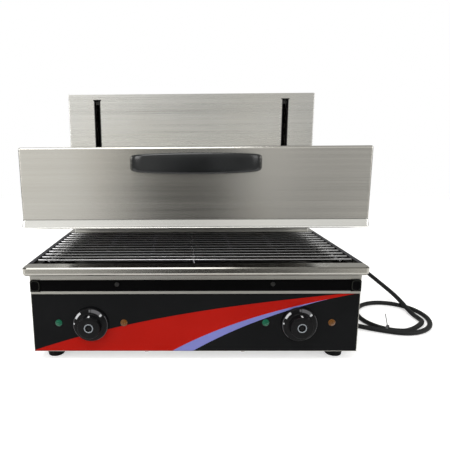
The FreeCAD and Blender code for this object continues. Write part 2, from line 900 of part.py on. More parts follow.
def slot_guide():
    """The black liner of the right slot: a face flange with a wider head, and walls inside."""
    bore = slot_width / 2 - guide_wall
    face = slot_width / 2 + guide_flange
    head = guide_head_width / 2
    z0, z1 = slot_bottom_z - guide_flange, slot_top_z + guide_flange
    points = [
        (-face, z0), (face, z0), (face, z1 - guide_head_height), (head, z1), (-head, z1),
        (-face, z1 - guide_head_height),
    ]
    flange = section_y(points, column_front_y - guide_proud, column_front_y)
    walls = box(-slot_width / 2, slot_width / 2, column_front_y, column_front_y + guide_depth,
                slot_bottom_z, slot_top_z)
    hole = box(-bore, bore, column_front_y - 2, column_front_y + guide_depth + 1,
               slot_bottom_z + guide_wall, slot_top_z - guide_wall)
    return moved(cut(fuse([flange, walls]), [hole]), slot_x, 0, 0)


# Lift

def beam(web_z, opens_up):
    """A cross channel between the column's sides, bored for the two rods."""
    half = column_half - sheet
    y0, y1 = rod_y - beam_half_depth, rod_y + beam_half_depth
    z0 = web_z if opens_up else web_z + beam_sheet - beam_height
    block = box(-half, half, y0, y1, z0, z0 + beam_height)
    trough = z0 + beam_sheet if opens_up else z0 - 1
    inner = box(-half - 1, half + 1, y0 + beam_sheet, y1 - beam_sheet, trough, trough + beam_height - beam_sheet + 1)
    bores = [rod(rod_diameter / 2, beam_height + 2, (side * slot_x, rod_y, z0 - 1), (0, 0, 1)) for side in (-1, 1)]
    return cut(block, [inner] + bores)


def rod_beams():
    return Part.makeCompound([beam(upper_web_z, False), beam(lower_web_z - beam_sheet, False)])


def guide_rods():
    z0 = lower_web_z - beam_height
    solid = rod(rod_diameter / 2, beam_top_z - z0, (slot_x, rod_y, z0), (0, 0, 1))
    return pair(solid.makeChamfer(1.0, [e for e in solid.Edges if e.Length < 4 * rod_diameter]))


def travel_stops():
    outer, inner = stop_diameter / 2, rod_diameter / 2
    low = [(inner, 0), (outer, 0), (outer - 2, stop_height), (inner, stop_height)]
    rise = upper_web_z - (slide_top_z + stop_gap)
    high = [(inner, 0), (outer - 2, 0), (outer, rise), (inner, rise)]
    radii = [0, 1.0, 1.0, 0]
    solids = []
    for side in (-1, 1):
        solids.append(revolved(low, radii, (side * slot_x, rod_y, lower_web_z), (0, 0, 1)))
        solids.append(revolved(high, radii, (side * slot_x, rod_y, slide_top_z + stop_gap), (0, 0, 1)))
    return Part.makeCompound(solids)


def slide_bushes():
    bore, body = rod_diameter / 2 + shaft_clearance, bush_diameter / 2
    points = [(bore, 0), (bush_flange_diameter / 2, 0), (bush_flange_diameter / 2, bush_flange),
              (body, bush_flange), (body, bush_flange + bush_length), (bore, bush_flange + bush_length)]
    solids = []
    for side in (-1, 1):
        low, high = housing_z - bush_flange, housing_z + housing_height + bush_flange
        solids.append(revolved(points, [0] * 6, (side * slot_x, rod_y, low), (0, 0, 1)))
        solids.append(revolved(points, [0] * 6, (side * slot_x, rod_y, high), (0, 0, -1)))
    return Part.makeCompound(solids)


def carriage():
    """The cross plate, its two bush housings and the lugs that the cables pull on."""
    half = slot_x + housing_width / 2
    z_mid = housing_z + housing_height / 2
    low, high = z_mid - carriage_height / 2, z_mid + carriage_height / 2
    plate = box(-half, half, plate_front_y, plate_front_y + carriage_plate, low, high)
    windows = []
    for place in (-1, 0, 1):
        left = place * carriage_window_pitch - carriage_window_width / 2
        right = left + carriage_window_width
        sill, head = low + carriage_window_margin, high - carriage_window_margin
        corners = [(left, sill), (right, sill), (right, head), (left, head)]
        windows.append(section_y(corners, plate_front_y - 1, plate_front_y + carriage_plate + 1, carriage_window_corner))
    pieces = [plate.cut(Part.makeCompound(windows))]
    tools = []
    for side in (-1, 1):
        x = side * slot_x
        block = box(x - housing_width / 2, x + housing_width / 2, rod_y - housing_width / 2, rod_y + housing_width / 2,
                    housing_z, housing_z + housing_height)
        upright = line_edges(block, (0, 0, 1), lambda p: p.y > rod_y)
        pieces.append(block.makeFillet(housing_corner, upright))
        tools.append(rod(bush_diameter / 2, housing_height + 2, (x, rod_y, housing_z - 1), (0, 0, 1)))
        lug = side * (pulley_x + pulley_radius)
        pieces.append(box(lug - lug_width / 2, lug + lug_width / 2, plate_front_y + carriage_plate,
                          fall_y + lug_margin, low, low + lug_height))
        tools.append(rod(cable_hole / 2, lug_height + 2, (lug, fall_y, low - 1), (0, 0, 1)))
    return cut(fuse(pieces), tools)


def arm():
    """The right arm: a bar through the slot with a pad on the hood's rear panel."""
    z_mid = housing_z + housing_height / 2
    pad = box(-arm_pad_width / 2, arm_pad_width / 2, hood_back_y, hood_back_y + arm_pad_thickness,
              z_mid - arm_pad_height / 2, z_mid + arm_pad_height / 2)
    pad = pad.makeFillet(arm_pad_corner, line_edges(pad, (0, 1, 0), lambda p: True))
    bar = box(-arm_thickness / 2, arm_thickness / 2, hood_back_y, plate_front_y,
              z_mid - arm_height / 2, z_mid + arm_height / 2)
    return moved(fuse([pad, bar]), slot_x, 0, 0)


# Counterbalance

def counterweight():
    half = weight_width / 2
    z0 = weight_top_z - weight_height
    block = box(-half, half, weight_front_y, weight_front_y + weight_depth, z0, weight_top_z)
    block = block.makeChamfer(3.0, line_edges(block, (1, 0, 0), lambda p: True))
    inner_fall = pulley_x - pulley_radius
    holes = [rod(cable_hole / 2, 30.0, (side * inner_fall, fall_y, weight_top_z - 20.0), (0, 0, 1)) for side in (-1, 1)]
    return cut(block, holes)


def pulley(side):
    """A grooved wheel with a hub, turned about its axle along Y."""
    groove = pulley_radius - cable_diameter / 2 - cable_gap
    outer = pulley_radius + pulley_rim
    half, bore, hub = pulley_width / 2, axle_diameter / 2 + shaft_clearance, 8.0
    points = [
        (bore, -half), (hub, -half), (hub, -half + 3), (groove - 6, -half + 3), (groove - 4, -half), (outer, -half),
        (outer, -half + 1.5), (groove, -1.8), (groove, 1.8), (outer, half - 1.5), (outer, half),
        (groove - 4, half), (groove - 6, half - 3), (hub, half - 3), (hub, half), (bore, half),
    ]
    return revolved(points, [0] * len(points), (side * pulley_x, fall_y, pulley_z), (0, 1, 0))


def pulley_bracket():
    """An inverted yoke on the upper beam's rear face, with the pulley's axle riveted through it."""
    front = rod_y + beam_half_depth
    rear = fall_y + pulley_width / 2 + yoke_gap
    near = fall_y - pulley_width / 2 - yoke_gap
    top, low, under = beam_top_z, pulley_z - yoke_width / 2, beam_top_z - beam_height
    t = yoke_sheet
    points = [
        (front, under), (front + t, under), (front + t, top - t), (near - t, top - t), (near - t, low), (near, low),
        (near, top - t), (rear, top - t), (rear, low), (rear + t, low), (rear + t, top), (front, top),
    ]
    yoke = section_x(points, -yoke_width / 2, yoke_width / 2)
    axle = rod(axle_diameter / 2, rear - near + 2 * t + 3, (0, near - t - 1.5, pulley_z), (0, 1, 0))
    return moved(fuse([yoke, axle]), pulley_x, 0, 0)


def weight_guide():
    """The right-hand angle that keeps the weight from swinging."""
    x0 = weight_width / 2 + weight_gap
    y0 = rod_y + beam_half_depth
    z0 = lower_web_z - beam_height
    z1 = weight_top_z + lift_down + 1.0
    points = [(x0, y0), (x0 + guide_angle, y0), (x0 + guide_angle, y0 + guide_sheet),
              (x0 + guide_sheet, y0 + guide_sheet), (x0 + guide_sheet, y0 + 2 * guide_angle), (x0, y0 + 2 * guide_angle)]
    return section_z(points, z0, z1)


def lift_cable():
    """The right cable: up from the carriage lug, over the pulley and down to the weight."""
    outer, inner = pulley_x + pulley_radius, pulley_x - pulley_radius
    low = vec(outer, fall_y, housing_z + (housing_height - carriage_height) / 2)
    over = [vec(outer, fall_y, pulley_z), vec(pulley_x, fall_y, pulley_z + pulley_radius), vec(inner, fall_y, pulley_z)]
    edges = [
        Part.LineSegment(low, over[0]).toShape(),
        Part.Arc(*over).toShape(),
        Part.LineSegment(over[2], vec(inner, fall_y, weight_top_z - 18.0)).toShape(),
    ]
    return tube(Part.Wire(edges), cable_diameter / 2)


def tube(path, radius):
    """A round tube along a path of lines and arcs."""
    start = path.Edges[0]
    point = start.valueAt(start.FirstParameter)
    circle = Part.Wire(Part.makeCircle(radius, point, start.tangentAt(start.FirstParameter)))
    return path.makePipeShell([circle], True, False)


# Hood

def hood_outline(offset, z):
    return outline_at(hood_half + offset, hood_front_y - offset, hood_back_y + offset, hood_corner + max(offset, 0),
                      z, hood_corner + max(offset, 0))


def hood_block(inset, rear_extra):
    """The hood's outer form, or with an inset the hollow inside it."""
    block = box(-hood_half + inset, hood_half - inset, hood_front_y + inset, hood_back_y + rear_extra,
                shell_bottom_z - (1 if inset else 0), hood_top_z - inset)
    edges = line_edges(block, (0, 0, 1), lambda p: p.y < hood_front_y + inset + 1)
    edges += line_edges(block, (1, 0, 0), lambda p: p.y < hood_front_y + inset + 1 and p.z > hood_top_z - inset - 1)
    edges += line_edges(block, (0, 1, 0), lambda p: p.z > hood_top_z - inset - 1)
    return block.makeFillet(hood_corner - inset, edges)


def hood_shell():
    screws = [rod(screw_diameter / 2, sheet + 2, (x, hood_front_y - 1, handle_screw_z()), (0, 1, 0))
              for x in handle_screw_places()]
    return cut(hood_block(0.0, 0.0), [hood_block(sheet, 1.0)] + screws)


def hood_rear():
    slab = box(-hood_half, hood_half, hood_back_y - sheet, hood_back_y, shell_bottom_z, hood_top_z)
    return hood_block(sheet, 1.0).common(slab)


def skirt_form(inset):
    """The flared band under the hood, or with an inset the hollow inside it."""
    knee = hood_bottom_z + skirt_straight
    low = hood_bottom_z + inset
    cone = Part.makeLoft([hood_outline(skirt_flare - inset, knee), hood_outline(-inset, skirt_top_z)], True, True)
    wall = Part.Face(hood_outline(skirt_flare - inset, low)).extrude(vec(0, 0, knee - low))
    form = fuse([cone, wall])
    edges = [e for e in form.Edges if abs(e.BoundBox.ZMax - low) < 1e-6]
    return form.makeFillet(skirt_roll - inset, edges)


def hood_skirt():
    band = skirt_form(0.0).cut(skirt_form(sheet))
    floor_hole = Part.Face(hood_outline(-skirt_return, hood_bottom_z - 1)).extrude(vec(0, 0, sheet + 2))
    step = Part.Face(hood_outline(0.0, skirt_top_z - sheet)).extrude(vec(0, 0, sheet))
    lip = Part.Face(hood_outline(-sheet, skirt_top_z - sheet)).extrude(vec(0, 0, skirt_lip + sheet))
    lip_hole = Part.Face(hood_outline(-2 * sheet, skirt_top_z - 2 * sheet)).extrude(vec(0, 0, skirt_lip + 3 * sheet))
    return fuse([cut(band, [floor_hole]), fuse([step, lip]).cut(lip_hole)])


def mouth_outline(inset, grow, z):
    half = hood_half - mouth_margin - inset + grow
    front = hood_front_y + mouth_margin + inset - grow
    back = hood_back_y - mouth_margin - inset + grow
    return outline_at(half, front, back, 0.0, z)


def reflector_z():
    return hood_bottom_z + sheet


def reflector():
    """A polished hopper over the elements, with a flange that lies on the skirt's return."""
    z0 = reflector_z()
    z1 = z0 + reflector_height
    t = reflector_sheet
    outer = Part.makeLoft([mouth_outline(0, t, z0), mouth_outline(reflector_slope, t, z1)], True, True)
    inner = Part.makeLoft([mouth_outline(0, 0, z0), mouth_outline(reflector_slope, 0, z1)], True, True)
    inner = inner.common(box(-hood_half, hood_half, hood_front_y, hood_back_y, z0, z1 - t))
    flange = Part.Face(mouth_outline(0, reflector_flange, z0)).extrude(vec(0, 0, t))
    holes = []
    for side in (-1, 1):
        for y in element_end_rows():
            holes.append(rod(element_diameter / 2 + element_hole_gap, 60.0, (side * (hood_half - 60), y, element_z()),
                             (side, 0, 0)))
    return cut(fuse([outer, flange]), [inner] + holes)


def insulation():
    """The blanket on top of the reflector."""
    z0 = reflector_z() + reflector_height
    base = mouth_outline(reflector_slope + insulation_margin, 0, z0)
    return Part.Face(base).extrude(vec(0, 0, insulation_height))


def element_z():
    return hood_bottom_z + element_height


def element_rows():
    middle = (hood_front_y + hood_back_y) / 2
    return [middle + (i - (element_runs - 1) / 2) * element_pitch for i in range(element_runs)]


def element_end_rows():
    rows = element_rows()
    return [rows[0], rows[-1]]


def heating_element():
    """The right-hand element: parallel runs joined by half-round bends, both tips at the side."""
    rows, z = element_rows(), element_z()
    bend = element_pitch / 2
    near = element_middle_gap + element_diameter / 2 + bend
    far = hood_half - mouth_margin - reflector_slope / 2 - element_bend_inset - bend
    tip = hood_half - element_tip
    edges = []
    here = vec(tip, rows[0], z)
    for i, y in enumerate(rows):
        inward = i % 2 == 0
        stop = near if inward else (far if i < len(rows) - 1 else tip)
        there = vec(stop, y, z)
        edges.append(Part.LineSegment(here, there).toShape())
        if i < len(rows) - 1:
            side = -bend if inward else bend
            after = vec(stop, rows[i + 1], z)
            edges.append(Part.Arc(there, vec(stop + side, y + bend, z), after).toShape())
            here = after
    return tube(Part.Wire(edges), element_diameter / 2)


def element_terminals():
    solids = []
    tip = hood_half - element_tip
    bore = element_diameter / 2
    for side in (-1, 1):
        for y in element_end_rows():
            points = [(bore, 0), (terminal_diameter / 2, 0), (terminal_diameter / 2, terminal_length), (bore, terminal_length)]
            solids.append(revolved(points, [0, 0.8, 0.8, 0], (side * (tip - 2.0), y, element_z()), (-side, 0, 0)))
    return Part.makeCompound(solids)


def element_hangers():
    """Comb plates across the hopper, bored for the element runs."""
    z0 = element_z() - hanger_drop
    z1 = z0 + hanger_height
    lean = reflector_slope / reflector_height
    base = reflector_z()
    solids = []
    for x in hanger_places:
        low, high = (z0 - base) * lean, (z1 - base) * lean
        front, back = hood_front_y + mouth_margin, hood_back_y - mouth_margin
        points = [(front + low, z0), (back - low, z0), (back - high, z1), (front + high, z1)]
        plate = section_x(points, x - hanger_sheet / 2, x + hanger_sheet / 2)
        holes = [rod(element_diameter / 2 + 0.1, hanger_sheet + 2, (x - hanger_sheet / 2 - 1, y, element_z()), (1, 0, 0))
                 for y in element_rows()]
        solids += [cut(plate, holes), mirrored(cut(plate, holes))]
    return Part.makeCompound(solids)


# Handle

def handle_z():
    return hood_top_z - handle_z_drop


def handle_screw_z():
    """The screws sit in the middle of the lowered ends."""
    return handle_z() - handle_end_drop * 0.8


def handle_screw_places():
    reach = handle_length / 2 - handle_foot / 2 - 1.0
    return (-reach, reach)


def handle():
    """A moulded bow: bent in plan, deepest in the middle, with every edge rounded."""
    half, grip = handle_length / 2, handle_length / 2 - handle_bend
    y0 = hood_front_y
    front, inner = y0 - handle_reach, y0 - handle_reach + handle_grip
    shoulder = y0 - handle_reach * handle_shoulder_share
    knuckle = shoulder + handle_inner_knuckle
    sweep = grip - handle_inner_inset
    plan = [
        (half, y0), (half, shoulder), (grip, front), (-grip, front), (-half, shoulder), (-half, y0),
        (-half + handle_foot, y0), (-half + handle_foot, knuckle), (-sweep, inner),
        (sweep, inner), (half - handle_foot, knuckle), (half - handle_foot, y0),
    ]
    outside = [0, handle_knuckle_radius, handle_sweep_radius, handle_sweep_radius, handle_knuckle_radius, 0]
    inside = [0, handle_inner_knuckle, handle_inner_sweep, handle_inner_sweep, handle_inner_knuckle, 0]
    z, mid, end = handle_z(), handle_height / 2, handle_end_height / 2
    end_z = z - handle_end_drop
    bar = prism([(x, y, end_z - end - 1) for x, y in plan], outside + inside, (0, 0, z + mid - end_z + end + 2))
    outline = [(-half, end_z - end), (-grip, z - mid), (grip, z - mid), (half, end_z - end),
               (half, end_z + end), (grip, z + mid), (-grip, z + mid), (-half, end_z + end)]
    bends = [0, handle_arch_radius, handle_arch_radius, 0] * 2
    bow = bar.common(prism([(x, front - 1, z) for x, z in outline], bends, (0, y0 - front + 1, 0)))
    outline_edges = [e for e in bow.Edges if e.CenterOfMass.y < y0 - 1 and not is_upright(e)]
    bow = bow.makeFillet(handle_edge, outline_edges)
    bores = [rod(screw_diameter / 2, handle_screw_length + 1, (x, y0 + 1, handle_screw_z()), (0, -1, 0))
             for x in handle_screw_places()]
    return cut(bow, bores)


def is_upright(edge):
    box_size = edge.BoundBox
    return box_size.ZLength > box_size.XLength + box_size.YLength


def handle_screws():
    head_y = hood_front_y + sheet
    solids = []
    for x in handle_screw_places():
        head = rod(screw_head / 2, screw_head_height, (x, head_y, handle_screw_z()), (0, 1, 0))
        stem = rod(screw_diameter / 2, sheet + handle_screw_length, (x, head_y, handle_screw_z()), (0, -1, 0))
        solids.append(fuse([head, stem]))
    return Part.makeCompound(solids)


# Cord

def free_tube(name, route):
    """A tube along straight runs joined by the largest arcs that the runs allow."""
    points = [vec(*p) for p in route]
    radii = [0.0]
    for i in range(1, len(points) - 1):
        back, ahead = points[i] - points[i - 1], points[i + 1] - points[i]
        turn = back.getAngle(ahead)
        radii.append(run_share * min(back.Length, ahead.Length) / math.tan(turn / 2))
    radii.append(0.0)
    path = corner_path(points, radii, False)
    solid = tube(path, cord_diameter / 2)
    expected = math.pi * cord_diameter ** 2 / 4 * path.Length
    print(name, "length", round(path.Length, 1), "radii", [round(r) for r in radii[1:-1]],
          "volume ratio", round(solid.Volume / expected, 4))
    return solid


def coil_height():
    return cord_diameter / 2 + tie_thickness + tie_slack


def coil_point(angle):
    """The coil's centre line: a tilted ellipse that grows outwards by one strand a turn."""
    grow = coil_growth * -angle / 360
    turn, tilt = math.radians(angle), math.radians(coil_tilt)
    along = (coil_half_width + grow) * math.cos(turn)
    across = (coil_half_depth + grow) * math.sin(turn)
    x = coil_centre[0] + along * math.cos(tilt) - across * math.sin(tilt)
    y = coil_centre[1] + along * math.sin(tilt) + across * math.cos(tilt)
    return vec(x, y, coil_height())


def coil_tangent(angle):
    return (coil_point(angle - 0.5) - coil_point(angle + 0.5)).normalize()


def entry_direction():
    heading = math.radians(coil_entry_heading)
    return vec(math.cos(heading), math.sin(heading), 0)


def coil_start():
    return vec(coil_entry[0], coil_entry[1], coil_height())


def coil_end():
    return coil_point(coil_end_angle) + coil_tangent(coil_end_angle) * coil_straight


def arc_between(start, tangent, end):
    """The arc that leaves the start along the tangent and reaches the end."""
    chord = end - start
    along = vec(*chord).normalize()
    bend = tangent.getAngle(along)
    if bend < 1e-4:
        return Part.LineSegment(start, end).toShape()
    across = (tangent - along * tangent.dot(along)).normalize()
    middle = start + chord * 0.5 + across * (chord.Length / 2 * math.tan(bend / 2))
    return Part.Arc(start, middle, end).toShape()


def biarc(start, start_tangent, end, end_tangent):
    """Two arcs with a common tangent where they meet."""
    chord = end - start
    both = start_tangent + end_tangent
    slack = 2 * (1 - start_tangent.dot(end_tangent))
    reach = (-chord.dot(both) + math.sqrt(chord.dot(both) ** 2 + slack * chord.dot(chord))) / slack
    joint = (start + end + (start_tangent - end_tangent) * reach) * 0.5
    middle_tangent = (end - start - (start_tangent + end_tangent) * reach).normalize()
    first = arc_between(start, start_tangent, joint)
    second = arc_between(joint, middle_tangent, end)
    return [first, second]


def coil_path():
    """In straight, on to the growing ellipse, round it and out straight."""
    steps = round((coil_join_angle - coil_end_angle) / coil_step)
    step = (coil_join_angle - coil_end_angle) / steps
    angles = [coil_join_angle - step * i for i in range(steps + 1)]
    inlet = coil_start() + entry_direction() * coil_straight
    edges = [Part.LineSegment(coil_start(), inlet).toShape()]
    edges += biarc(inlet, entry_direction(), coil_point(angles[0]), coil_tangent(angles[0]))
    for a, b in zip(angles, angles[1:]):
        edges += biarc(coil_point(a), coil_tangent(a), coil_point(b), coil_tangent(b))
    edges.append(Part.LineSegment(coil_point(coil_end_angle), coil_end()).toShape())
    return Part.Wire(edges)


def least_gap(path, skip):
    """The least gap between stretches of the tube that lie more than skip apart along it."""
    points = path.discretize(Distance=4.0)
    apart = int(skip / 4.0)
    least = 1e9
    for i, p in enumerate(points):
        for q in points[i + apart:]:
            least = min(least, (p - q).Length)
    return least - cord_diameter


def cord_coil():
    path = coil_path()
    print("cord_coil length", round(path.Length, 1), "least gap to itself", round(least_gap(path, 60.0), 2))
    return tube(path, cord_diameter / 2)


def cord_lead():
    before = coil_start() - entry_direction() * cord_run_out
    return free_tube("cord_lead", lead_route + [tuple(before), tuple(coil_start())])


def cord_tail():
    after = coil_end() + coil_tangent(coil_end_angle) * cord_run_out
    return free_tube("cord_tail", [tuple(coil_end()), tuple(after)] + tail_route)


def cord_tie():
    """A wire tie round two strands of the coil, its twisted end standing up."""
    inner_strand = coil_point(tie_angle)
    along = coil_tangent(tie_angle)
    across = vec(along.y, -along.x, 0)
    outer_strand = coil_point(coil_end_angle)
    apart = abs((outer_strand - inner_strand).dot(across))
    room = cord_diameter / 2 + tie_slack
    grow = room + tie_thickness
    half = apart / 2
    outer = [(-half - grow, -grow), (half + grow, -grow), (half + grow, grow), (-half - grow, grow)]
    inner = [(-half - room, -room), (half + room, -room), (half + room, room), (-half - room, room)]
    ring = section_y(outer, -tie_width / 2, tie_width / 2, grow * 0.98)
    ring = ring.cut(section_y(inner, -tie_width, tie_width, room * 0.98))
    foot = vec(0, 0, grow - tie_thickness / 2)
    tip = foot + vec(0, tie_lean, tie_tail)
    twist = Part.makeCylinder(tie_thickness, (tip - foot).Length, foot, tip - foot)
    band = fuse([ring, twist])
    middle = inner_strand + across * half
    turn = math.degrees(math.atan2(along.y, along.x)) - 90
    band.Placement = FreeCAD.Placement(middle, FreeCAD.Rotation(vec(0, 0, 1), turn))
    return band


def cable_gland():
    """A hexagon gland with a domed nut that runs out in a tapered bend relief."""
    hexagon = [(gland_flat / math.sqrt(3) * math.cos(math.radians(60 * i)),
                gland_flat / math.sqrt(3) * math.sin(math.radians(60 * i))) for i in range(6)]
    body = section_z(hexagon, 0, gland_body)
    points = [
        (0, gland_body), (gland_flat / 2 - 1, gland_body), (relief_start / 2 + 1, gland_body + gland_dome),
        (relief_start / 2, gland_body + gland_dome), (relief_end / 2, gland_body + gland_dome + relief_length),
        (0, gland_body + gland_dome + relief_length),
    ]
    dome = revolved(points, [0, 3.0, 0, 0, 1.0, 0], (0, 0, 0), (0, 0, 1))
    neck = rod(gland_neck / 2, sheet + 6, (0, 0, -sheet - 6), (0, 0, 1))
    nut = rod(gland_flat / 2, 5, (0, 0, -sheet - 5), (0, 0, 1))
    gland = fuse([body, dome, neck, nut])
    gland.Placement = FreeCAD.Placement(vec(gland_x, casing_back_y, gland_z), FreeCAD.Rotation(vec(0, 0, 1), vec(0, 1, 0)))
    return gland


def plug():
    """A moulded round plug with a ribbed neck and two round pins."""
    end = vec(*tail_route[-1])
    back = end - vec(*tail_route[-2])
    radius, cord = plug_diameter / 2, cord_diameter / 2
    length = plug_neck + plug_length
    points = [
        (0, 0), (cord + 1.5, 0), (cord + 4.0, plug_neck), (radius - 3, plug_neck + 10), (radius, plug_neck + 22),
        (radius, length), (0, length),
    ]
    body = revolved(points, [0, 1.0, 4.0, 6.0, 6.0, 1.5, 0], (0, 0, 0), (0, 0, 1))
    pins = [rod(pin_diameter / 2, pin_length + 5, (side * pin_spacing / 2, 0, length - 5), (0, 0, 1)) for side in (-1, 1)]
    whole = fuse([body] + pins)
    whole.Placement = FreeCAD.Placement(end, FreeCAD.Rotation(vec(0, 0, 1), back))
    return whole


def parts():
    return {
        "base_pan": base_pan(),
        "side_panel_left": mirrored(side_panel()),
        "side_panel_right": side_panel(),
        "base_rear_panel": base_rear_panel(),
        "control_panel": control_panel(),
        "front_film": front_film(),
        "tray_surround": tray_surround(),
        "end_posts": pair(end_post()),
        "heat_shield": heat_shield(),
        "tray_runners": pair(tray_runner()),
        "feet": feet(),
        "base_screws": base_screws(),
        "thermostats": thermostats(),
        "lamp_bodies": lamp_bodies(),
        "green_lenses": lenses((-lamp_outer_x, lamp_inner_x)),
        "orange_lenses": lenses((-lamp_inner_x, lamp_outer_x)),
        "terminal_block": terminal_block(),
        "top_frame": top_frame(),
        "wire_rack": wire_rack(),
        "drip_tray": drip_tray(),
        "tray_front": tray_front(),
        "tray_screws": tray_screws(),
        "knob_left": knob(-1),
        "knob_right": knob(1),
        "shaft_left": shaft(-1),
        "shaft_right": shaft(1),
        "column_front": column_front(),
        "column_rear": column_rear(),
        "column_top": column_top(),
        "slot_guides": pair(slot_guide()),
        "rod_beams": rod_beams(),
        "guide_rods": guide_rods(),
        "travel_stops": travel_stops(),
        "slide_bushes": slide_bushes(),
        "carriage": carriage(),
        "arms": pair(arm()),
        "counterweight": counterweight(),
        "pulley_left": pulley(-1),
        "pulley_right": pulley(1),
        "pulley_brackets": pair(pulley_bracket()),
        "weight_guides": pair(weight_guide()),
        "lift_cables": pair(lift_cable()),
        "hood_shell": hood_shell(),
        "hood_rear": hood_rear(),
        "hood_skirt": hood_skirt(),
        "reflector": reflector(),
        "insulation": insulation(),
        "element_left": mirrored(heating_element()),
        "element_right": heating_element(),
        "element_terminals": element_terminals(),
        "element_hangers": element_hangers(),
        "handle": handle(),
        "handle_screws": handle_screws(),
        "cable_gland": cable_gland(),
        "cord_lead": cord_lead(),
        "cord_coil": cord_coil(),
        "cord_tail": cord_tail(),
        "cord_tie": cord_tie(),
        "plug": plug(),
    }


os.makedirs("parts", exist_ok=True)
for name, shape in parts().items():
    shape.exportStep("parts/" + name + ".step")
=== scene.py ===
"""Looks of a countertop lift-top grill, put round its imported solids.

+X points to the right seen from the front, +Y to the back and +Z up. Sizes of shapes are written in
millimetres and turned into metres where a mesh or a curve is made. Materials, lamps and masks are
in metres.
"""

import math

import bpy
import numpy as np
from mathutils import Matrix


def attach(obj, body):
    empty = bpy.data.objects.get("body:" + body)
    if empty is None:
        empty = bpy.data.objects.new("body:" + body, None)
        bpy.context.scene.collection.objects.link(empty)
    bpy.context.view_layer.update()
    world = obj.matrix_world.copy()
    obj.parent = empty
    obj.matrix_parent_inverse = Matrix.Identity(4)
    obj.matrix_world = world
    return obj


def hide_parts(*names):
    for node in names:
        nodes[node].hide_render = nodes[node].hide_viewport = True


MM = 0.001
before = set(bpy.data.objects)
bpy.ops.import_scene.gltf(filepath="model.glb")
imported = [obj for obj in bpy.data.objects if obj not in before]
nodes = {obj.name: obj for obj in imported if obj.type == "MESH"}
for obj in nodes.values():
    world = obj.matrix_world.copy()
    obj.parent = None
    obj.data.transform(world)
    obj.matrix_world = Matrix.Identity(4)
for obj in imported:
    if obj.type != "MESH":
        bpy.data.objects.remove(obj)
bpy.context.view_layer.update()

# Places that several pieces share
panel_face_y = -214.3
panel_bottom_z, panel_top_z = 20.0, 131.0
dial_x, dial_z = 188.0, 73.8
dial_back_y = panel_face_y - 0.6
lamp_z = 75.7
lamp_outer_x, lamp_inner_x = 246.5, 128.0
cord_diameter = 10.0


# Mesh making
def piece(name, points, faces, material, body, slot, smooth=True):
    """A mesh from an array of points in millimetres and a list of rows of point numbers."""
    mesh = bpy.data.meshes.new(name)
    rows = [list(map(int, face)) for face in faces]
    mesh.from_pydata((np.asarray(points, float) * MM).tolist(), [], rows)
    mesh.update()
    mesh.polygons.foreach_set("use_smooth", np.full(len(mesh.polygons), smooth))
    mesh.materials.append(material)
    thing = bpy.data.objects.new(name, mesh)
    bpy.context.scene.collection.objects.link(thing)
    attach(thing, body)
    return thing


def grid_faces(rows, columns, wrap_rows=False, wrap_columns=False, start=0):
    """Quads between neighbours of a grid of points that are numbered row by row."""
    r = np.arange(rows if wrap_rows else rows - 1)
    c = np.arange(columns if wrap_columns else columns - 1)
    r, c = np.meshgrid(r, c, indexing="ij")
    below, right = (r + 1) % rows, (c + 1) % columns
    quads = [r * columns + c, r * columns + right, below * columns + right, below * columns + c]
    return (np.stack(quads, -1).reshape(-1, 4) + start).tolist()


def flipped(faces):
    """The same faces seen from their other side."""
    return [face[::-1] for face in faces]


def closed_slab(front, back):
    """A thin solid: two grids of points of the same shape, joined by quads round their rim."""
    rows, columns = front.shape[:2]
    count = rows * columns
    points = np.concatenate([front.reshape(-1, 3), back.reshape(-1, 3)])
    faces = grid_faces(rows, columns) + flipped(grid_faces(rows, columns, start=count))
    index = np.arange(count).reshape(rows, columns)
    rim = np.concatenate([index[0, :-1], index[:-1, -1], index[-1, :0:-1], index[:0:-1, 0]])
    after = np.roll(rim, -1)
    faces += np.stack([rim + count, after + count, after, rim], -1).tolist()
    return points, faces


def turned_grid(profile, sides, centre, ridges=None):
    """A profile of (radius, height) rows carried round an axis that points to the front.

    At each angle the point lies the radius times the angle's cosine to the left of the centre and
    the radius times its sine below it, and comes forward by the height. ridges(angle, row) is
    added to the radius.
    """
    profile = np.asarray(profile, float)
    angle = np.arange(sides) * 2 * np.pi / sides
    radius, height = profile[:, :1], profile[:, 1:]
    if ridges is not None:
        radius = radius + ridges(angle[None, :], np.arange(len(profile))[:, None])
    x = centre[0] - radius * np.cos(angle)
    y = np.broadcast_to(centre[1] - height, x.shape)
    z = centre[2] - radius * np.sin(angle)
    return np.stack([x, y, z], -1)


def turned_solid(profile, sides, centre, ridges=None):
    """A turned grid whose first and last rows close on the axis with a fan each."""
    rows = len(profile)
    grid = turned_grid(profile, sides, centre, ridges)
    middles = [(centre[0], centre[1] - profile[row][1], centre[2]) for row in (0, -1)]
    points = np.concatenate([grid.reshape(-1, 3), middles])
    hub, tip = rows * sides, rows * sides + 1
    first = np.arange(sides)
    last = first + (rows - 1) * sides
    faces = flipped(grid_faces(rows, sides, wrap_columns=True))
    faces += np.stack([np.roll(first, -1), first, np.full(sides, hub)], -1).tolist()
    faces += np.stack([last, np.roll(last, -1), np.full(sides, tip)], -1).tolist()
    return points, faces


def turned_ring(profile, sides, centre):
    """A turned grid whose last row joins its first, so that it makes a closed ring."""
    grid = turned_grid(profile, sides, centre)
    return grid.reshape(-1, 3), flipped(grid_faces(len(profile), sides, True, True))


def together(parts):
    """Several (points, faces) pairs as one."""
    points, faces, count = [], [], 0
    for some_points, some_faces in parts:
        points.append(np.asarray(some_points, float))
        faces += [[i + count for i in face] for face in some_faces]
        count += len(some_points)
    return np.concatenate(points), faces


def rounded(wave, power):
    """A sine or cosine whose size is raised to a power, its sign kept: this squares an ellipse."""
    return np.sign(wave) * np.abs(wave) ** power


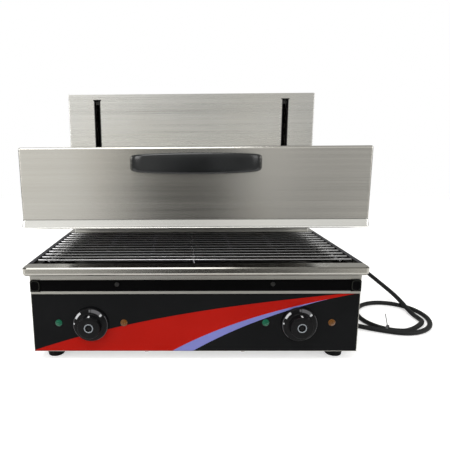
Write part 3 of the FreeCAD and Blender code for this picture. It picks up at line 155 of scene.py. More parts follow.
# Node trees
class Nodes:
    """A node tree that is put together one node at a time."""

    def __init__(self, tree):
        self.tree = tree

    def add(self, kind, **settings):
        node = self.tree.nodes.new("ShaderNode" + kind)
        for key, value in settings.items():
            setattr(node, key, value)
        return node

    def join(self, value, socket):
        """Link a socket to another, or set it to a number or a colour."""
        if isinstance(value, bpy.types.NodeSocket):
            self.tree.links.new(value, socket)
        else:
            socket.default_value = value

    def fed(self, kind, *values, **settings):
        """A node whose first inputs take the values in turn."""
        node = self.add(kind, **settings)
        for value, socket in zip(values, node.inputs):
            self.join(value, socket)
        return node

    def math(self, operation, a, b=0.0):
        return self.fed("Math", a, b, operation=operation).outputs[0]

    def ramp(self, value, low, high, to_low=0.0, to_high=1.0):
        """The value's range from low to high stretched to the new range, and held at its ends."""
        return self.fed("MapRange", value, low, high, to_low, to_high).outputs[0]

    def mix(self, kind, share, a, b):
        node = self.add("Mix", data_type=kind)
        for name, value in (("Factor", share), ("A", a), ("B", b)):
            self.join(value, node.inputs[name])
        return node.outputs["Result"]

    def blend(self, share, a, b):
        """A share of colour b over colour a."""
        whole = [c if isinstance(c, bpy.types.NodeSocket) else (*c, 1) for c in (a, b)]
        return self.mix("RGBA", share, *whole)

    def switch(self, share, a, b):
        """A share of vector b over vector a."""
        return self.mix("VECTOR", share, a, b)


class Finish(Nodes):
    """A material with one shader, whose patterns read the place in the object's own frame."""

    def __init__(self, name, colour, roughness, metallic=0.0):
        self.material = bpy.data.materials.new(name)
        self.material.use_nodes = True
        super().__init__(self.material.node_tree)
        self.shader = self.tree.nodes["Principled BSDF"]
        self.set("Base Color", (*colour, 1))
        self.set("Roughness", roughness)
        self.set("Metallic", metallic)
        self.place = self.add("TexCoord").outputs["Object"]

    def set(self, socket, value):
        self.shader.inputs[socket].default_value = value

    def colour(self, value):
        self.join(value, self.shader.inputs["Base Color"])

    def rough(self, value):
        self.join(value, self.shader.inputs["Roughness"])

    def bump(self, height, depth, strength=1.0):
        """Relief of a depth in metres, laid over the relief that is there already."""
        node = self.add("Bump")
        node.inputs["Distance"].default_value = depth
        node.inputs["Strength"].default_value = strength
        self.join(height, node.inputs["Height"])
        normal = self.shader.inputs["Normal"]
        if normal.is_linked:
            self.join(normal.links[0].from_socket, node.inputs["Normal"])
        self.join(node.outputs["Normal"], normal)

    def scaled(self, scale, rotation=(0, 0, 0)):
        """The place, turned and stretched before a pattern reads it."""
        node = self.add("Mapping")
        self.join(self.place, node.inputs["Vector"])
        node.inputs["Scale"].default_value = scale
        node.inputs["Rotation"].default_value = rotation
        return node.outputs[0]

    def noise(self, place, scale=1.0, detail=3.0, roughness=0.5):
        node = self.add("TexNoise")
        self.join(place, node.inputs["Vector"])
        node.inputs["Scale"].default_value = scale
        node.inputs["Detail"].default_value = detail
        node.inputs["Roughness"].default_value = roughness
        return node.outputs["Fac"]

    def inside(self, low, high):
        """1 inside a box given by two corners in metres, else 0."""
        split = self.fed("SeparateXYZ", self.place)
        share = 1.0
        for axis in range(3):
            above = self.math("GREATER_THAN", split.outputs[axis], low[axis])
            below = self.math("LESS_THAN", split.outputs[axis], high[axis])
            share = self.math("MULTIPLY", share, self.math("MULTIPLY", above, below))
        return share

    def facing(self, axis):
        """How far the surface faces along an axis, from 0 to 1."""
        split = self.fed("SeparateXYZ", self.add("NewGeometry").outputs["Normal"])
        return self.math("ABSOLUTE", split.outputs[axis])


def shade(colour, *factors):
    """A colour times one factor or three, held under 1."""
    return tuple(min(c * k, 1) for c, k in zip(colour, factors * (3 // len(factors))))


# Finishes
def brushed(name, colour, rough, stain=0.5, stretch=0.75, painted_shade_boxes=(), bevel_painted_shade=0.0):
    """Brushed sheet: streaks along the length of each face, with faint broad bands and stains.

    The streaks are noise that is stretched along X on faces to the front and top, and along Y on
    faces to the sides. rough gives the smoothest and the roughest streak. stretch draws the
    reflections out across the streaks. painted_shade_boxes lists boxes in metres, each with a
    colour, inside which the sheet is painted darker as painted shade. Bevels and rolls are painted
    darker by bevel_painted_shade of their colour, a painted shade that tones down their highlights:
    the darkening goes with the product of how far the surface faces up and how far it doesn't.
    """
    f = Finish(name, colour, rough[0], 1.0)
    along, across = 2.0, 900.0
    to_side = f.ramp(f.facing("X"), 0.6, 0.8)
    fine = f.switch(to_side, f.scaled((along, across, across)), f.scaled((across, along, across)))
    streak = f.noise(fine, 1.0, 3.0, 0.6)
    band = f.noise(fine, 0.1, 2.0, 0.5)
    cloud = f.noise(f.place, 5.0, 2.0, 0.5)
    grain = f.math("ADD", f.math("MULTIPLY", streak, 0.6), f.math("MULTIPLY", band, 0.4))
    base = f.blend(f.ramp(grain, 0.25, 0.75), shade(colour, 0.93), shade(colour, 1.06))
    base = f.blend(f.ramp(cloud, 0.45, 0.75, 0.0, stain), base, shade(colour, 0.94, 0.92, 0.86))
    worn = f.ramp(grain, 0.3, 0.7, *rough)
    # Painted shade: sloping bevels and rolls are darkened to tone down their highlights.
    if bevel_painted_shade:
        level = f.math("POWER", f.facing("Z"), 2.0)
        slope = f.math("MULTIPLY", level, f.math("SUBTRACT", 1.0, level))
        base = f.blend(f.math("MULTIPLY", slope, 4.0 * bevel_painted_shade), base, (0.0, 0.0, 0.0))
    # Painted shade: inside each listed box the colour and roughness are set to the box's own.
    for low, high, shade_colour in painted_shade_boxes:
        inside = f.inside(low, high)
        base = f.blend(inside, base, shade_colour)
        worn = f.ramp(inside, 0, 1, worn, painted_shade_roughness)
    f.colour(base)
    f.rough(worn)
    f.bump(streak, 0.00001, 0.25)
    f.set("Anisotropic", stretch)
    across_grain = f.switch(f.ramp(f.facing("Z"), 0.6, 0.8), (0, 0, 1), (0, 1, 0))
    f.join(across_grain, f.shader.inputs["Tangent"])
    return f.material


def zinc_sheet(name, colour):
    """Galvanised sheet: small crystals with slightly different greys."""
    f = Finish(name, colour, 0.42, 1.0)
    cells = f.add("TexVoronoi", feature="F1")
    cells.inputs["Scale"].default_value = 140.0
    f.join(f.place, cells.inputs["Vector"])
    grey = f.ramp(f.noise(cells.outputs["Color"], 3.0, 1.0), 0.3, 0.7)
    f.colour(f.blend(grey, shade(colour, 0.86), shade(colour, 1.1)))
    f.rough(f.ramp(grey, 0.0, 1.0, 0.36, 0.5))
    return f.material


def polished(name, colour, rough, spots=0.0):
    """Drawn or turned metal with faint marks, and darker, browner spots where it has been hot."""
    f = Finish(name, colour, rough, 1.0)
    marks = f.noise(f.place, 220.0, 3.0, 0.6)
    hot = f.noise(f.place, 22.0, 4.0, 0.6)
    f.colour(f.blend(f.ramp(hot, 0.5, 0.75, 0.0, spots), colour, shade(colour, 0.62, 0.52, 0.40)))
    f.rough(f.ramp(marks, 0.3, 0.7, rough * 0.75, rough * 1.35))
    f.bump(marks, 0.00003, 0.4)
    return f.material


def plastic(name, colour, rough, shine, grain=900.0, depth=0.00003):
    """Moulded plastic or rubber with a fine grain, paler patches and slightly uneven gloss."""
    f = Finish(name, colour, rough)
    grains = f.noise(f.place, grain, 2.0, 0.5)
    patch = f.noise(f.place, 18.0, 3.0, 0.55)
    f.colour(f.blend(f.ramp(patch, 0.35, 0.7), colour, shade(colour, 1.5)))
    f.rough(f.ramp(patch, 0.3, 0.7, rough * 0.88, min(rough * 1.15, 1)))
    f.bump(grains, depth, 0.6)
    f.set("Specular IOR Level", shine)
    return f.material


def print_film(name, colour, rough=0.16):
    """Smooth printed film: an even colour with faint waves and fine wipe marks."""
    f = Finish(name, colour, rough)
    wave = f.noise(f.place, 14.0, 2.0, 0.5)
    wipes = f.noise(f.scaled((60.0, 60.0, 900.0), (0, 0.5, 0)), 1.0, 2.0)
    f.rough(f.ramp(wipes, 0.35, 0.75, rough, rough * 1.7))
    paler = tuple(min(c * 1.08 + 0.001, 1) for c in colour)
    f.colour(f.blend(f.ramp(wave, 0.35, 0.7), colour, paler))
    f.bump(wave, 0.0004, 0.25)
    f.set("Specular IOR Level", 0.05)
    return f.material


def heater_sheath(name):
    """Oxidised heater tube: dark, with brown and blue where it has glowed."""
    f = Finish(name, (0.10, 0.095, 0.09), 0.48, 0.85)
    drift = f.noise(f.place, 30.0, 4.0, 0.65)
    scale = f.noise(f.place, 420.0, 3.0, 0.6)
    tint = f.blend(f.ramp(drift, 0.35, 0.6), (0.055, 0.05, 0.052), (0.17, 0.12, 0.085))
    f.colour(f.blend(f.ramp(drift, 0.6, 0.75), tint, (0.10, 0.115, 0.15)))
    f.rough(f.ramp(scale, 0.3, 0.7, 0.38, 0.62))
    f.bump(scale, 0.00008, 0.5)
    return f.material


def rough_cast(name, colour):
    """Cast iron or fired ceramic: a coarse, slightly mottled skin."""
    f = Finish(name, colour, 0.7)
    skin = f.noise(f.place, 260.0, 5.0, 0.65)
    patch = f.noise(f.place, 30.0, 3.0)
    f.colour(f.blend(f.ramp(patch, 0.35, 0.7), shade(colour, 0.8), colour))
    f.rough(f.ramp(skin, 0.3, 0.7, 0.6, 0.85))
    f.bump(skin, 0.0003, 0.6)
    return f.material


def lens_plastic(name, colour):
    """Coloured lens that lets some light into its depth, with fine specks of darker colour."""
    f = Finish(name, colour, 0.14)
    speck = f.noise(f.place, 500.0, 2.0)
    f.colour(f.blend(f.ramp(speck, 0.3, 0.7), shade(colour, 0.8), shade(colour, 1.2)))
    f.rough(f.ramp(speck, 0.3, 0.7, 0.18, 0.3))
    f.set("Specular IOR Level", 0.15)
    f.set("Transmission Weight", 0.1)
    return f.material


def wire_rope(name):
    """Fine twisted steel rope: the strands show as slanting ridges."""
    f = Finish(name, (0.5, 0.5, 0.5), 0.35, 1.0)
    wave = f.add("TexWave", wave_type="BANDS", bands_direction="Z")
    wave.inputs["Scale"].default_value = 260.0
    f.join(f.scaled((1, 1, 1), (0.5, 0.5, 0)), wave.inputs["Vector"])
    strand = wave.outputs["Fac"]
    f.colour(f.blend(strand, (0.3, 0.3, 0.3), (0.62, 0.62, 0.62)))
    f.rough(f.ramp(strand, 0.0, 1.0, 0.5, 0.3))
    f.bump(strand, 0.0004, 0.8)
    return f.material


# Painted shade on the rim: its well, darkened where the recess lies in shade, then the top of
# its two side flanges, darkened with a blue tint as painted shade and dark reflection
painted_shade_roughness = 0.34
rim_painted_shade = [
    ((-0.2927, -0.2025, 0.1), (0.2927, 0.0845, 0.1815), (0.075, 0.078, 0.076)),
    ((-0.3015, -0.2025, 0.182), (-0.2920, 0.0845, 0.184), (0.03, 0.031, 0.045)),
    ((0.2920, -0.2025, 0.182), (0.3015, 0.0845, 0.184), (0.03, 0.031, 0.045)),
]

hood_steel = brushed("hood_steel", (0.69, 0.675, 0.63), (0.17, 0.24), bevel_painted_shade=0.25)
skirt_steel = brushed("skirt_steel", (0.94, 0.94, 0.91), (0.2, 0.26), stain=0.4, stretch=0.2)
column_steel = brushed("column_steel", (0.725, 0.72, 0.69), (0.24, 0.32), stretch=0.8)
rim_steel = brushed("rim_steel", (0.50, 0.49, 0.455), (0.13, 0.19), stain=0.6, stretch=0.6,
                    painted_shade_boxes=rim_painted_shade, bevel_painted_shade=0.55)
case_steel = brushed("case_steel", (0.37, 0.365, 0.34), (0.24, 0.34), bevel_painted_shade=0.3)
reflector_sheet = brushed("reflector_sheet", (0.13, 0.125, 0.115), (0.25, 0.4), stain=0.9)
tray_steel = brushed("tray_steel", (0.14, 0.14, 0.135), (0.3, 0.42), stain=0.8)
inner_sheet = zinc_sheet("inner_sheet", (0.52, 0.53, 0.53))

rack_steel = polished("rack_steel", (0.45, 0.45, 0.46), 0.12, spots=0.25)
bright_steel = polished("bright_steel", (0.66, 0.66, 0.65), 0.2)
seam_grey = polished("seam_grey", (0.16, 0.16, 0.15), 0.5)
dull_steel = polished("dull_steel", (0.035, 0.035, 0.034), 0.5)
black_oxide = polished("black_oxide", (0.012, 0.012, 0.012), 0.5)
bronze = polished("bush_bronze", (0.55, 0.37, 0.16), 0.35)

handle_black = plastic("handle_black", (0.0065, 0.0072, 0.0078), 0.24, 0.45, grain=700.0)
knob_black = plastic("knob_black", (0.0028, 0.0028, 0.0031), 0.30, 0.11)
trim_black = plastic("trim_black", (0.004, 0.004, 0.0044), 0.5, 0.1, depth=0.00004)
# The end posts' raised line is lighter than the black posts: a painted highlight on their rim.
post_line_highlight = plastic("post_line_highlight", (0.018, 0.019, 0.016), 0.4, 0.1)
tray_black = plastic("tray_black", (0.0010, 0.0010, 0.0011), 0.35, 0.03, 600.0, 0.00002)
foot_rubber = plastic("foot_rubber", (0.005, 0.005, 0.005), 0.68, 0.1, 500.0, 0.00008)
cord_rubber = plastic("cord_rubber", (0.0105, 0.011, 0.0112), 0.5, 0.15, 500.0, 0.00006)

film_black = print_film("film_black", (0.0045, 0.0048, 0.0052))
film_red = print_film("film_red", (0.33, 0.0065, 0.003))
film_violet = print_film("film_violet", (0.16, 0.17, 0.42))
# White is the pointer's print and the dials' painted highlights. Grey is the cord tie's finish and
# the dials' painted highlights and reflection.
white_print_and_highlight = print_film("white_print_and_highlight", (0.47, 0.48, 0.49), 0.35)
mark_silver = print_film("mark_silver", (0.24, 0.26, 0.28), 0.35)
grey_tie_and_sheen = print_film("grey_tie_and_sheen", (0.10, 0.10, 0.105), 0.35)

green_lens = lens_plastic("green_lens", (0.002, 0.090, 0.045))
orange_lens = lens_plastic("orange_lens", (0.125, 0.046, 0.005))
sheath = heater_sheath("heater_sheath")
ceramic = rough_cast("ceramic", (0.72, 0.70, 0.64))
iron = rough_cast("cast_iron", (0.035, 0.035, 0.036))
rope = wire_rope("wire_rope")

node_finish = {
    hood_steel: ["hood_shell", "hood_rear"],
    skirt_steel: ["hood_skirt"],
    column_steel: ["column_front", "column_top", "column_rear"],
    rim_steel: ["top_frame"],
    case_steel: ["side_panel_left", "side_panel_right", "base_rear_panel", "control_panel",
                 "tray_surround"],
    inner_sheet: ["base_pan", "heat_shield", "tray_runners", "rod_beams", "pulley_brackets",
                  "weight_guides", "carriage", "arms", "element_hangers"],
    reflector_sheet: ["reflector"],
    tray_steel: ["drip_tray"],
    rack_steel: ["wire_rack"],
    bright_steel: ["shaft_left", "shaft_right", "base_screws", "handle_screws"],
    dull_steel: ["tray_screws"],
    black_oxide: ["guide_rods"],
    rope: ["lift_cables"],
    sheath: ["element_left", "element_right"],
    handle_black: ["handle"],
    tray_black: ["tray_front", "end_posts"],
    trim_black: ["slot_guides", "thermostats", "lamp_bodies", "pulley_left", "pulley_right"],
    knob_black: ["knob_left", "knob_right"],
    foot_rubber: ["feet", "travel_stops", "cable_gland", "plug"],
    grey_tie_and_sheen: ["cord_tie"],
    film_black: ["front_film"],
    green_lens: ["green_lenses"],
    orange_lens: ["orange_lenses"],
    ceramic: ["terminal_block", "element_terminals", "insulation"],
    bronze: ["slide_bushes"],
    iron: ["counterweight"],
    cord_rubber: ["cord_lead", "cord_coil", "cord_tail"],
}
for finish, names in node_finish.items():
    for name in names:
        nodes[name].data.materials.clear()
        nodes[name].data.materials.append(finish)


# Camera, floor and light
def standing(right, up, back, place):
    """The matrix of something at a place whose own X, Y and Z point right, up and back."""
    turn = np.eye(4)
    turn[:3, 0], turn[:3, 1], turn[:3, 2], turn[:3, 3] = right, up, back, place
    return Matrix(turn.tolist())


def photo_camera():
    """The photograph's pinhole, turned by yaw, pitch and roll, its middle moved sideways."""
    place = np.array([-21.76, -943.0, 388.9])
    yaw, pitch, roll = -0.0150, 0.1813, -0.0071
    pixels, focal_pixels, middle_pixel = 450.0, 427.2, 175.9
    sensor_width = 36.0
    flat = np.array([math.sin(yaw), math.cos(yaw), 0.0])
    forward = flat * math.cos(pitch) - np.array([0.0, 0.0, math.sin(pitch)])
    level = np.array([math.cos(yaw), -math.sin(yaw), 0.0])
    upward = np.cross(level, forward)
    right = math.cos(roll) * level + math.sin(roll) * upward
    up = -math.sin(roll) * level + math.cos(roll) * upward
    camera = bpy.data.objects.new("camera", bpy.data.cameras.new("camera"))
    camera.matrix_world = standing(right, up, -forward, place * MM)
    camera.data.sensor_width = sensor_width
    camera.data.lens = sensor_width * focal_pixels / pixels
    camera.data.shift_x = (pixels / 2 - middle_pixel) / pixels
    camera.data.clip_start = 0.01
    bpy.context.scene.collection.objects.link(camera)
    bpy.context.scene.camera = camera


def pale_floor():
    """A wide pale floor that shows as white and keeps the shadow."""
    half, front, back = 2200.0, -620.0, 2400.0
    seen_glow, mirrored_glow = 0.5, 0.2
    corners = [(-half, front, 0), (half, front, 0), (half, back, 0), (-half, back, 0)]
    f = Finish("floor_pale", (0.80, 0.80, 0.80), 0.9)
    rays = f.add("LightPath").outputs
    seen = f.math("MAXIMUM", rays["Is Camera Ray"], rays["Is Transmission Ray"])
    glow = f.math("ADD", f.math("MULTIPLY", seen, seen_glow),
                  f.math("MULTIPLY", rays["Is Glossy Ray"], mirrored_glow))
    f.set("Emission Color", (1, 1, 1, 1))
    f.join(glow, f.shader.inputs["Emission Strength"])
    mesh = bpy.data.meshes.new("floor")
    mesh.from_pydata((np.array(corners) * MM).tolist(), [], [(0, 1, 2, 3)])
    mesh.materials.append(f.material)
    floor = bpy.data.objects.new("floor", mesh)
    bpy.context.scene.collection.objects.link(floor)


# Grey levels of the room: share of a turn, where 0.5 is straight in front of the grill, and level
wall_levels = [
    (0.0, 0.55), (0.25, 0.6), (0.42, 0.94), (0.462, 0.93), (0.490, 0.08), (0.512, 0.08),
    (0.522, 0.38), (0.531, 0.66), (0.545, 0.44), (0.555, 0.39), (0.6, 0.48), (0.75, 0.55),
    (1.0, 0.55),
]
low_levels = [
    (0.0, 0.5), (0.25, 0.6), (0.42, 0.95), (0.4445, 0.74), (0.4633, 0.56), (0.4821, 0.28),
    (0.5009, 0.05), (0.5197, 0.03), (0.5384, 0.08), (0.5572, 0.50), (0.5713, 0.95), (1.0, 0.5),
]
high_levels = [
    (0.0, 0.95), (0.484, 0.95), (0.490, 1.0), (0.4955, 1.0), (0.4985, 0.70), (0.5005, 0.72),
    (0.5034, 0.95), (0.507, 0.70), (0.509, 0.72), (0.513, 1.0), (0.52, 1.0), (0.535, 0.93),
    (1.0, 0.93),
]
side_levels = [(0.0, 0.60), (0.28, 0.62), (0.37, 1.0), (0.62, 1.0), (0.70, 0.64), (1.0, 0.60)]


def soft_room():
    """White to look at, and a pale room with a darker stretch in front for light and reflections.

    The levels go round the turn. The high ones take over above the horizon and the low ones well
    below it, and the side levels dim the whole room beside and behind the grill.
    """
    brightness, high_share = 0.85, 0.8
    world = bpy.data.worlds.new("room")
    bpy.context.scene.world = world
    world.use_nodes = True
    world.node_tree.nodes.clear()
    room = Nodes(world.node_tree)
    way = room.fed("SeparateXYZ", room.add("TexCoord").outputs["Generated"]).outputs
    turn = room.math("ARCTAN2", way["X"], room.math("MULTIPLY", way["Y"], -1.0))
    share = room.ramp(turn, -math.pi, math.pi)

    def ring(levels):
        """The levels as a warm grey that runs between its stops."""
        ramp = room.fed("ValToRGB", share)
        stops = ramp.color_ramp.elements
        stops.remove(stops[1])
        for i, (at, level) in enumerate(levels):
            stop = stops[0] if i == 0 else stops.new(at)
            stop.position = at
            stop.color = (level, level * 0.99, level * 0.96, 1)
        return ramp.outputs["Color"]

    upward = room.ramp(way["Z"], 0.01, 0.16, 0.0, high_share)
    downward = room.ramp(way["Z"], -0.17, -0.25)
    walls = room.mix("RGBA", upward, ring(wall_levels), ring(high_levels))
    walls = room.mix("RGBA", downward, walls, ring(low_levels))
    lit = room.fed("Background", walls, room.math("MULTIPLY", ring(side_levels), brightness))
    white = room.fed("Background", (1, 1, 1, 1), 1.0)
    rays = room.add("LightPath").outputs
    seen = room.math("MAXIMUM", rays["Is Camera Ray"], rays["Is Transmission Ray"])
    both = room.fed("MixShader", seen, lit.outputs[0], white.outputs[0])
    room.fed("OutputWorld", both.outputs[0])


def soft_lamp(name, place, target, size, power):
    """A square soft lamp that points at a spot."""
    lamp = bpy.data.objects.new(name, bpy.data.lights.new(name, "AREA"))
    lamp.data.shape = "SQUARE"
    lamp.data.size = size
    lamp.data.energy = power
    place, target = np.array(place, float), np.array(target, float)
    ahead = (target - place) / np.linalg.norm(target - place)
    side = np.cross(ahead, [0, 0, 1])
    side /= np.linalg.norm(side)
    lamp.matrix_world = standing(side, np.cross(side, ahead), -ahead, place)
    bpy.context.scene.collection.objects.link(lamp)


photo_camera()
pale_floor()
soft_room()
soft_lamp("lamp_above", (-0.4, -1.0, 2.3), (0, 0, 0.2), 1.6, 36)
soft_lamp("lamp_left", (-2.0, -1.3, 1.1), (0, 0, 0.25), 1.2, 22)
soft_lamp("lamp_right", (2.0, -1.1, 1.0), (0, 0, 0.25), 1.2, 12)
bpy.context.scene.view_settings.view_transform = "Standard"


# Cord: out of the gland, down to the floor, round the coil and on to the plug
lying_z = 5.95
lead_route = [
    (262, 291, 100), (262, 340, 100), (297, 383, 99), (352, 392, 97), (400, 360, 93),
    (428, 302, 86), (449, 236, 73), (473, 165, 54), (491, 120, 37), (503, 82, 25), (506, 46, 17),
    (507.2, 18, 9.5), (507.3, -6, lying_z), (508, -28, lying_z), (507.5, -52, lying_z),
]
tail_route = [(360, -75, 6), (340, -57, 7), (327, -33, 10), (323, -6, 15), (323, 20, 18)]


def coil_route():
    """A tilted ellipse that grows outwards by one strand a turn.

    Its points lie a little outside the cord's own line, because the smooth curve cuts inside them.
    """
    centre, half_width, half_depth, outside = (451.6, -16.7), 67.0, 80.0, 1.014
    tilt, growth = math.radians(-20.0), 11.0
    angle = np.arange(-65.0, -456.0, -27.0)
    turn, grow = np.radians(angle), growth * -angle / 360
    along = (half_width + grow) * np.cos(turn) * outside
    across = (half_depth + grow) * np.sin(turn) * outside
    x = centre[0] + along * math.cos(tilt) - across * math.sin(tilt)
    y = centre[1] + along * math.sin(tilt) + across * math.cos(tilt)
    return np.stack([x, y, np.full(len(x), lying_z)], 1).tolist()


def free_cord():
    """The whole cord as one smooth line with a round section."""
    route = lead_route + coil_route() + tail_route
    curve = bpy.data.curves.new("cord", "CURVE")
    curve.dimensions = "3D"
    line = curve.splines.new("NURBS")
    line.points.add(len(route) - 1)
    at = np.concatenate([np.array(route, float) * MM, np.ones((len(route), 1))], 1)
    line.points.foreach_set("co", at.ravel())
    line.order_u = 3
    line.use_endpoint_u = True
    line.resolution_u = 10
    curve.bevel_depth = cord_diameter / 2 * MM
    curve.bevel_resolution = 7
    curve.use_fill_caps = True
    curve.materials.append(cord_rubber)
    cord = bpy.data.objects.new("cord", curve)
    bpy.context.scene.collection.objects.link(cord)
    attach(cord, "casing")
    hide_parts("cord_lead", "cord_coil", "cord_tail")


free_cord()


# Panel print: two stripes that sweep up from the left to the right
print_low_z, print_high_z = panel_bottom_z + 1.2, panel_top_z - 1.0
red_top_curve = [0.217, -2.068, 16.943, 95.621]
red_bottom_curve = [0.993, -9.202, 48.804, 42.463]
red_end_x, violet_end_x = 291.0, 238.0


def red_top(x):
    """A cubic in X, with X in hundreds of millimetres, held just under the panel's upper edge."""
    return np.minimum(np.polyval(red_top_curve, x / 100), panel_top_z - 1.3)


def red_bottom(x):
    """A steeper cubic, held 0.1 lower than the top's."""
    return np.minimum(np.polyval(red_bottom_curve, x / 100), panel_top_z - 1.4)


def red_lower(x):
    """The red stripe's lower edge, which left of the middle never lies above its upper edge."""
    return np.where(x < 0, np.minimum(red_bottom(x), red_top(x)), red_bottom(x))


def violet_bottom(x):
    """Under the red by a height that falls with the 1.25th power of the way left to the tip."""
    start, tip, height = -5.0, 240.0, 20.2
    left = np.clip(1 - (x - start) / (tip - start), 0.004, 1.3)
    return red_bottom(x) - height * left ** 1.25


def edge_start(curve, low, high):
    """Where a rising curve passes the print's lower edge."""
    x = np.linspace(low, high, 4000)
    return x[np.argmax(curve(x) > print_low_z)]


def stripe(name, material, x_low, x_high, lower, upper, layer):
    """A thin print between two curves: at each X, its points share out the height between them."""
    columns, rows, thickness, least_height = 160, 3, 0.06, 0.05
    x = np.linspace(x_low, x_high, columns)
    low, high = np.clip(lower(x), print_low_z, None), np.clip(upper(x), None, print_high_z)
    low = np.minimum(low, high - least_height)
    z = low + (high - low) * np.linspace(0, 1, rows)[:, None]
    y = np.full(z.shape, panel_face_y - layer)
    front = np.stack([np.broadcast_to(x, z.shape), y, z], -1)
    points, faces = closed_slab(front, front + [0, thickness, 0])
    piece(name, points, faces, material, "casing", "printed_film", smooth=False)


stripe("stripe_red", film_red, edge_start(red_top, -293, 0), red_end_x, red_lower, red_top, 0.08)
stripe("stripe_violet", film_violet, edge_start(red_bottom, -100, 50), violet_end_x,
       violet_bottom, red_bottom, 0.10)


# Handle: a bow of rounded section on two feet, deeper in its middle
def bow(stations=120, sides=40):
    """A section carried along a path that leaves the hood, turns and crosses in front of it.

    The path is a half turn: x goes with the fourth root of its cosine, and y with the square root
    of its sine plus a bulge that falls with the square of x. The section is an ellipse made
    squarer, whose top and bottom draw together with the square of x and round off at the corners.
    """
    foot_x, middle_x, back_y = 104.8, 1.4, -208.2
    reach, bulge, half_thick = 31.0, 6.0, 6.2
    top_z, top_drop, bottom_z, bottom_rise, corner_loss = 379.7, 3.1, 344.7, 3.2, 1.8
    turn = np.linspace(0.0, np.pi, 4001)
    x = foot_x * rounded(np.cos(turn), 0.25)
    y = -reach * np.sin(turn) ** 0.5 - bulge * (1 - (x / foot_x) ** 2)
    along = np.concatenate([[0], np.cumsum(np.hypot(np.diff(x), np.diff(y)))])
    at = np.linspace(0, along[-1], stations)
    x, y = np.interp(at, along, x), np.interp(at, along, y)
    forward = np.stack([np.gradient(x), np.gradient(y)], -1)
    forward[0], forward[-1] = (0, -1), (0, 1)
    forward /= np.linalg.norm(forward, axis=1)[:, None]
    out = np.stack([forward[:, 1], -forward[:, 0]], -1)
    outward = np.clip(np.abs(x) / foot_x, 0, 1)
    corner = corner_loss * outward ** 20
    top = top_z - top_drop * outward ** 2 - corner
    bottom = bottom_z + bottom_rise * outward ** 2 + corner
    angle = np.arange(sides) * 2 * np.pi / sides
    across = rounded(np.cos(angle), 0.6) * half_thick
    level = rounded(np.sin(angle), 0.4)
    points = np.empty((stations, sides, 3))
    points[..., 0] = middle_x + x[:, None] + out[:, :1] * across
    points[..., 1] = back_y + y[:, None] + out[:, 1:] * across
    points[..., 2] = (top + bottom)[:, None] / 2 + (top - bottom)[:, None] / 2 * level
    faces = grid_faces(stations, sides, wrap_columns=True)
    end = np.arange(sides) + (stations - 1) * sides
    faces += [list(range(sides))[::-1], end.tolist()]
    return points.reshape(-1, 3), faces


handle = piece("handle_bow", *bow(), handle_black, "hood", "black_plastic")
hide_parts("handle")


# Seam between the hood and its skirt
def seam_band():
    """A thin closed band along a path: the hood's front, its two round corners and its sides."""
    half_x, front_y, back_y, corner = 302.0, -208.0, 84.0, 4.0
    low_z, high_z, proud, sunk = 263.6, 264.6, 0.12, 0.2
    turn = np.radians(np.linspace(0, 90, 9))
    x = np.concatenate([[0.0], half_x - corner + corner * np.sin(turn), [half_x]])
    y = np.concatenate([[front_y], front_y + corner - corner * np.cos(turn), [back_y]])
    x, y = np.concatenate([-x[::-1], x[1:]]), np.concatenate([y[::-1], y[1:]])
    way = np.stack([np.gradient(x), np.gradient(y)], -1)
    way /= np.linalg.norm(way, axis=1)[:, None]
    z = np.array([low_z, (low_z + high_z) / 2, high_z])[:, None]
    grids = []
    for out in (proud, -sunk):
        line_x, line_y = x + way[:, 1] * out, y - way[:, 0] * out
        grids.append(np.stack(np.broadcast_arrays(line_x, line_y, z), -1))
    return closed_slab(*grids)


piece("skirt_seam", *seam_band(), seam_grey, "hood", "brushed_steel")


# End posts: a raised line round a plain field, coloured lighter than the posts as a painted
# highlight on their rim
def post_band(side, sides=64):
    """A flat band between two squares with round corners: ellipses made squarer."""
    middle_x, middle_z, front_y, back_y = side * 285.4, 145.7, -216.8, -216.4
    inner, outer = (7.2, 8.4), (8.2, 9.4)
    edges = [(inner, front_y), (outer, front_y), (outer, back_y), (inner, back_y)]
    angle = np.arange(sides) * 2 * np.pi / sides
    rows = []
    for (half_x, half_z), y in edges:
        x = middle_x + half_x * rounded(np.cos(angle), 0.6)
        z = middle_z + half_z * rounded(np.sin(angle), 0.6)
        rows.append(np.stack([x, np.full(sides, y), z], -1))
    return np.concatenate(rows), flipped(grid_faces(len(rows), sides, True, True))


piece("post_lines", *together([post_band(-1), post_band(1)]), post_line_highlight, "casing", "black_plastic",
      smooth=False)

# Dials: a wide bevelled skirt with painted highlights, a painted reflection and a tick, a ribbed
# cap, a pointer and a plain ring.
# Profiles are rows of radius and height over the dial's back.
dial_profile = [
    (3.05, 0.0), (31.0, 0.0), (31.5, 0.6), (31.4, 4.4), (30.9, 5.3), (30.2, 5.7), (24.0, 7.2),
    (21.8, 7.6), (21.0, 8.2), (20.8, 9.4), (20.65, 11.5), (20.5, 13.5), (20.35, 15.5),
    (20.2, 17.5), (20.1, 19.5), (20.0, 20.6), (19.6, 21.4), (18.9, 21.85), (17.6, 22.0),
    (9.6, 22.0), (9.0, 21.85), (8.7, 21.4), (8.5, 21.2), (8.2, 21.2),
]
skirt_rows = np.array(dial_profile[6:2:-1])
cap_rows = (8, 16)
ring_profile = [(6.4, 21.0), (6.4, 21.5), (6.6, 21.8), (7.9, 21.8), (8.15, 21.5), (8.15, 21.0)]

# Painted highlights, a painted reflection and a tick on the dial's skirt: angles in degrees
# clockwise from 12 o'clock, then inner and outer radius
# White: painted highlights where the skirt's bevel catches the lamps.
white_painted_highlights = [(42, 50, 23.9, 28.8), (-65, -37, 26.4, 30.2), (-88, -82, 28.0, 30.4)]
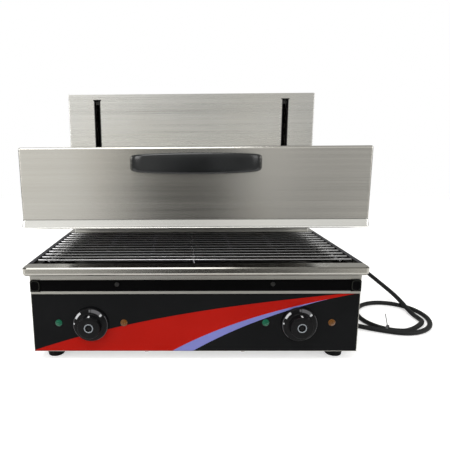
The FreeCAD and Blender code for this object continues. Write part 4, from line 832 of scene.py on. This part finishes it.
# Grey: two painted highlights along the skirt's rounded edge, a painted reflection right of 12
# o'clock, and a small tick at 12 o'clock.
grey_painted_sheen_and_tick = [(-140, -66, 30.25, 30.95), (56, 158, 30.25, 30.95), (5, 41, 24.2, 29.8),
              (-4, 3, 24.8, 29.2)]


def cap_ribs(angle, row):
    """Fine ribs on the cap's side: the cube of a raised cosine, fading at both of its ends."""
    count, depth = 40, 0.55
    share = np.clip(np.minimum(row - cap_rows[0], cap_rows[1] - row) / 2.0, 0, 1)
    return -depth * share * (0.5 + 0.5 * np.cos(count * angle)) ** 3


def skirt_height(radius):
    """Height of the dial's skirt above its back at a radius."""
    return np.interp(radius, skirt_rows[:, 0], skirt_rows[:, 1])


def pointer_height(radius):
    """Height on the cap's side, which rises as the radius falls."""
    return np.interp(-radius, [-20.55, -20.0], [14.0, 20.8])


def mark(start, stop, inner, outer, centre, layer=0.07, height=skirt_height):
    """A curved bar on a dial: its radius goes from inner to outer, its angle from start to stop."""
    thickness = 0.25
    angle = np.radians(np.linspace(start, stop, max(3, int(abs(stop - start) / 3) + 2)))
    radius = np.linspace(inner, outer, 3)[:, None]
    x = centre[0] + radius * np.sin(angle)
    y = np.broadcast_to(dial_back_y - height(radius) - layer, x.shape)
    z = centre[2] + radius * np.cos(angle)
    front = np.stack([x, y, z], -1)
    return closed_slab(front, front + [0, thickness, 0])


def dial(name, body, side):
    """One dial with its painted highlights, painted reflection and tick, its pointer and its ring.
    """
    centre = (side * dial_x, dial_back_y, dial_z)
    points, faces = turned_solid(dial_profile, 240, centre, cap_ribs)
    cap = piece(name, points, faces, knob_black, body, "black_plastic")
    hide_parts(name.replace("dial", "knob"))
    # The skirt's light bars: painted highlights and a painted reflection, with one tick among the
    # grey ones.
    for ending, marks, material in (("_highlights", white_painted_highlights, white_print_and_highlight),
                                    ("_sheen_and_tick", grey_painted_sheen_and_tick, grey_tie_and_sheen)):
        parts = together([mark(*given, centre) for given in marks])
        piece(name + ending, *parts, material, body, "printed_film", smooth=False)
    pointer = mark(-4.5, 4.5, 20.55, 20.0, centre, 0.0, pointer_height)
    piece(name + "_pointer", *pointer, white_print_and_highlight, body, "printed_film", smooth=False)
    piece(name + "_ring", *turned_ring(ring_profile, 96, centre), mark_silver, body, "bright_steel")


dial("dial_left", "knob_left", -1)
dial("dial_right", "knob_right", 1)


# Pilot lamps: a low dome with rings moulded into it
def pilot(name, replaced, material, slot, places):
    """Domes whose height falls with the square of the radius, less a cosine with four waves."""
    dome, crown, fall, wave = 6.1, 2.35, 0.9, 0.1
    stem = [(4.0, -9.4), (4.0, 0.0), (6.35, 0.0), (6.35, 0.9)]
    radius = np.linspace(0.05, dome, 26)[::-1]
    waves = 0.5 + 0.5 * np.cos(radius / dome * 8 * np.pi)
    height = crown - fall * (radius / dome) ** 2 - wave * waves
    profile = stem + list(zip(radius, height))
    domes = [turned_solid(profile, 72, (x, panel_face_y, lamp_z)) for x in places]
    lens = piece(name, *together(domes), material, "casing", slot)
    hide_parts(replaced)


pilot("pilot_green", "green_lenses", green_lens, "green_lens", (-lamp_outer_x, lamp_inner_x))
pilot("pilot_orange", "orange_lenses", orange_lens, "orange_lens", (-lamp_inner_x, lamp_outer_x))
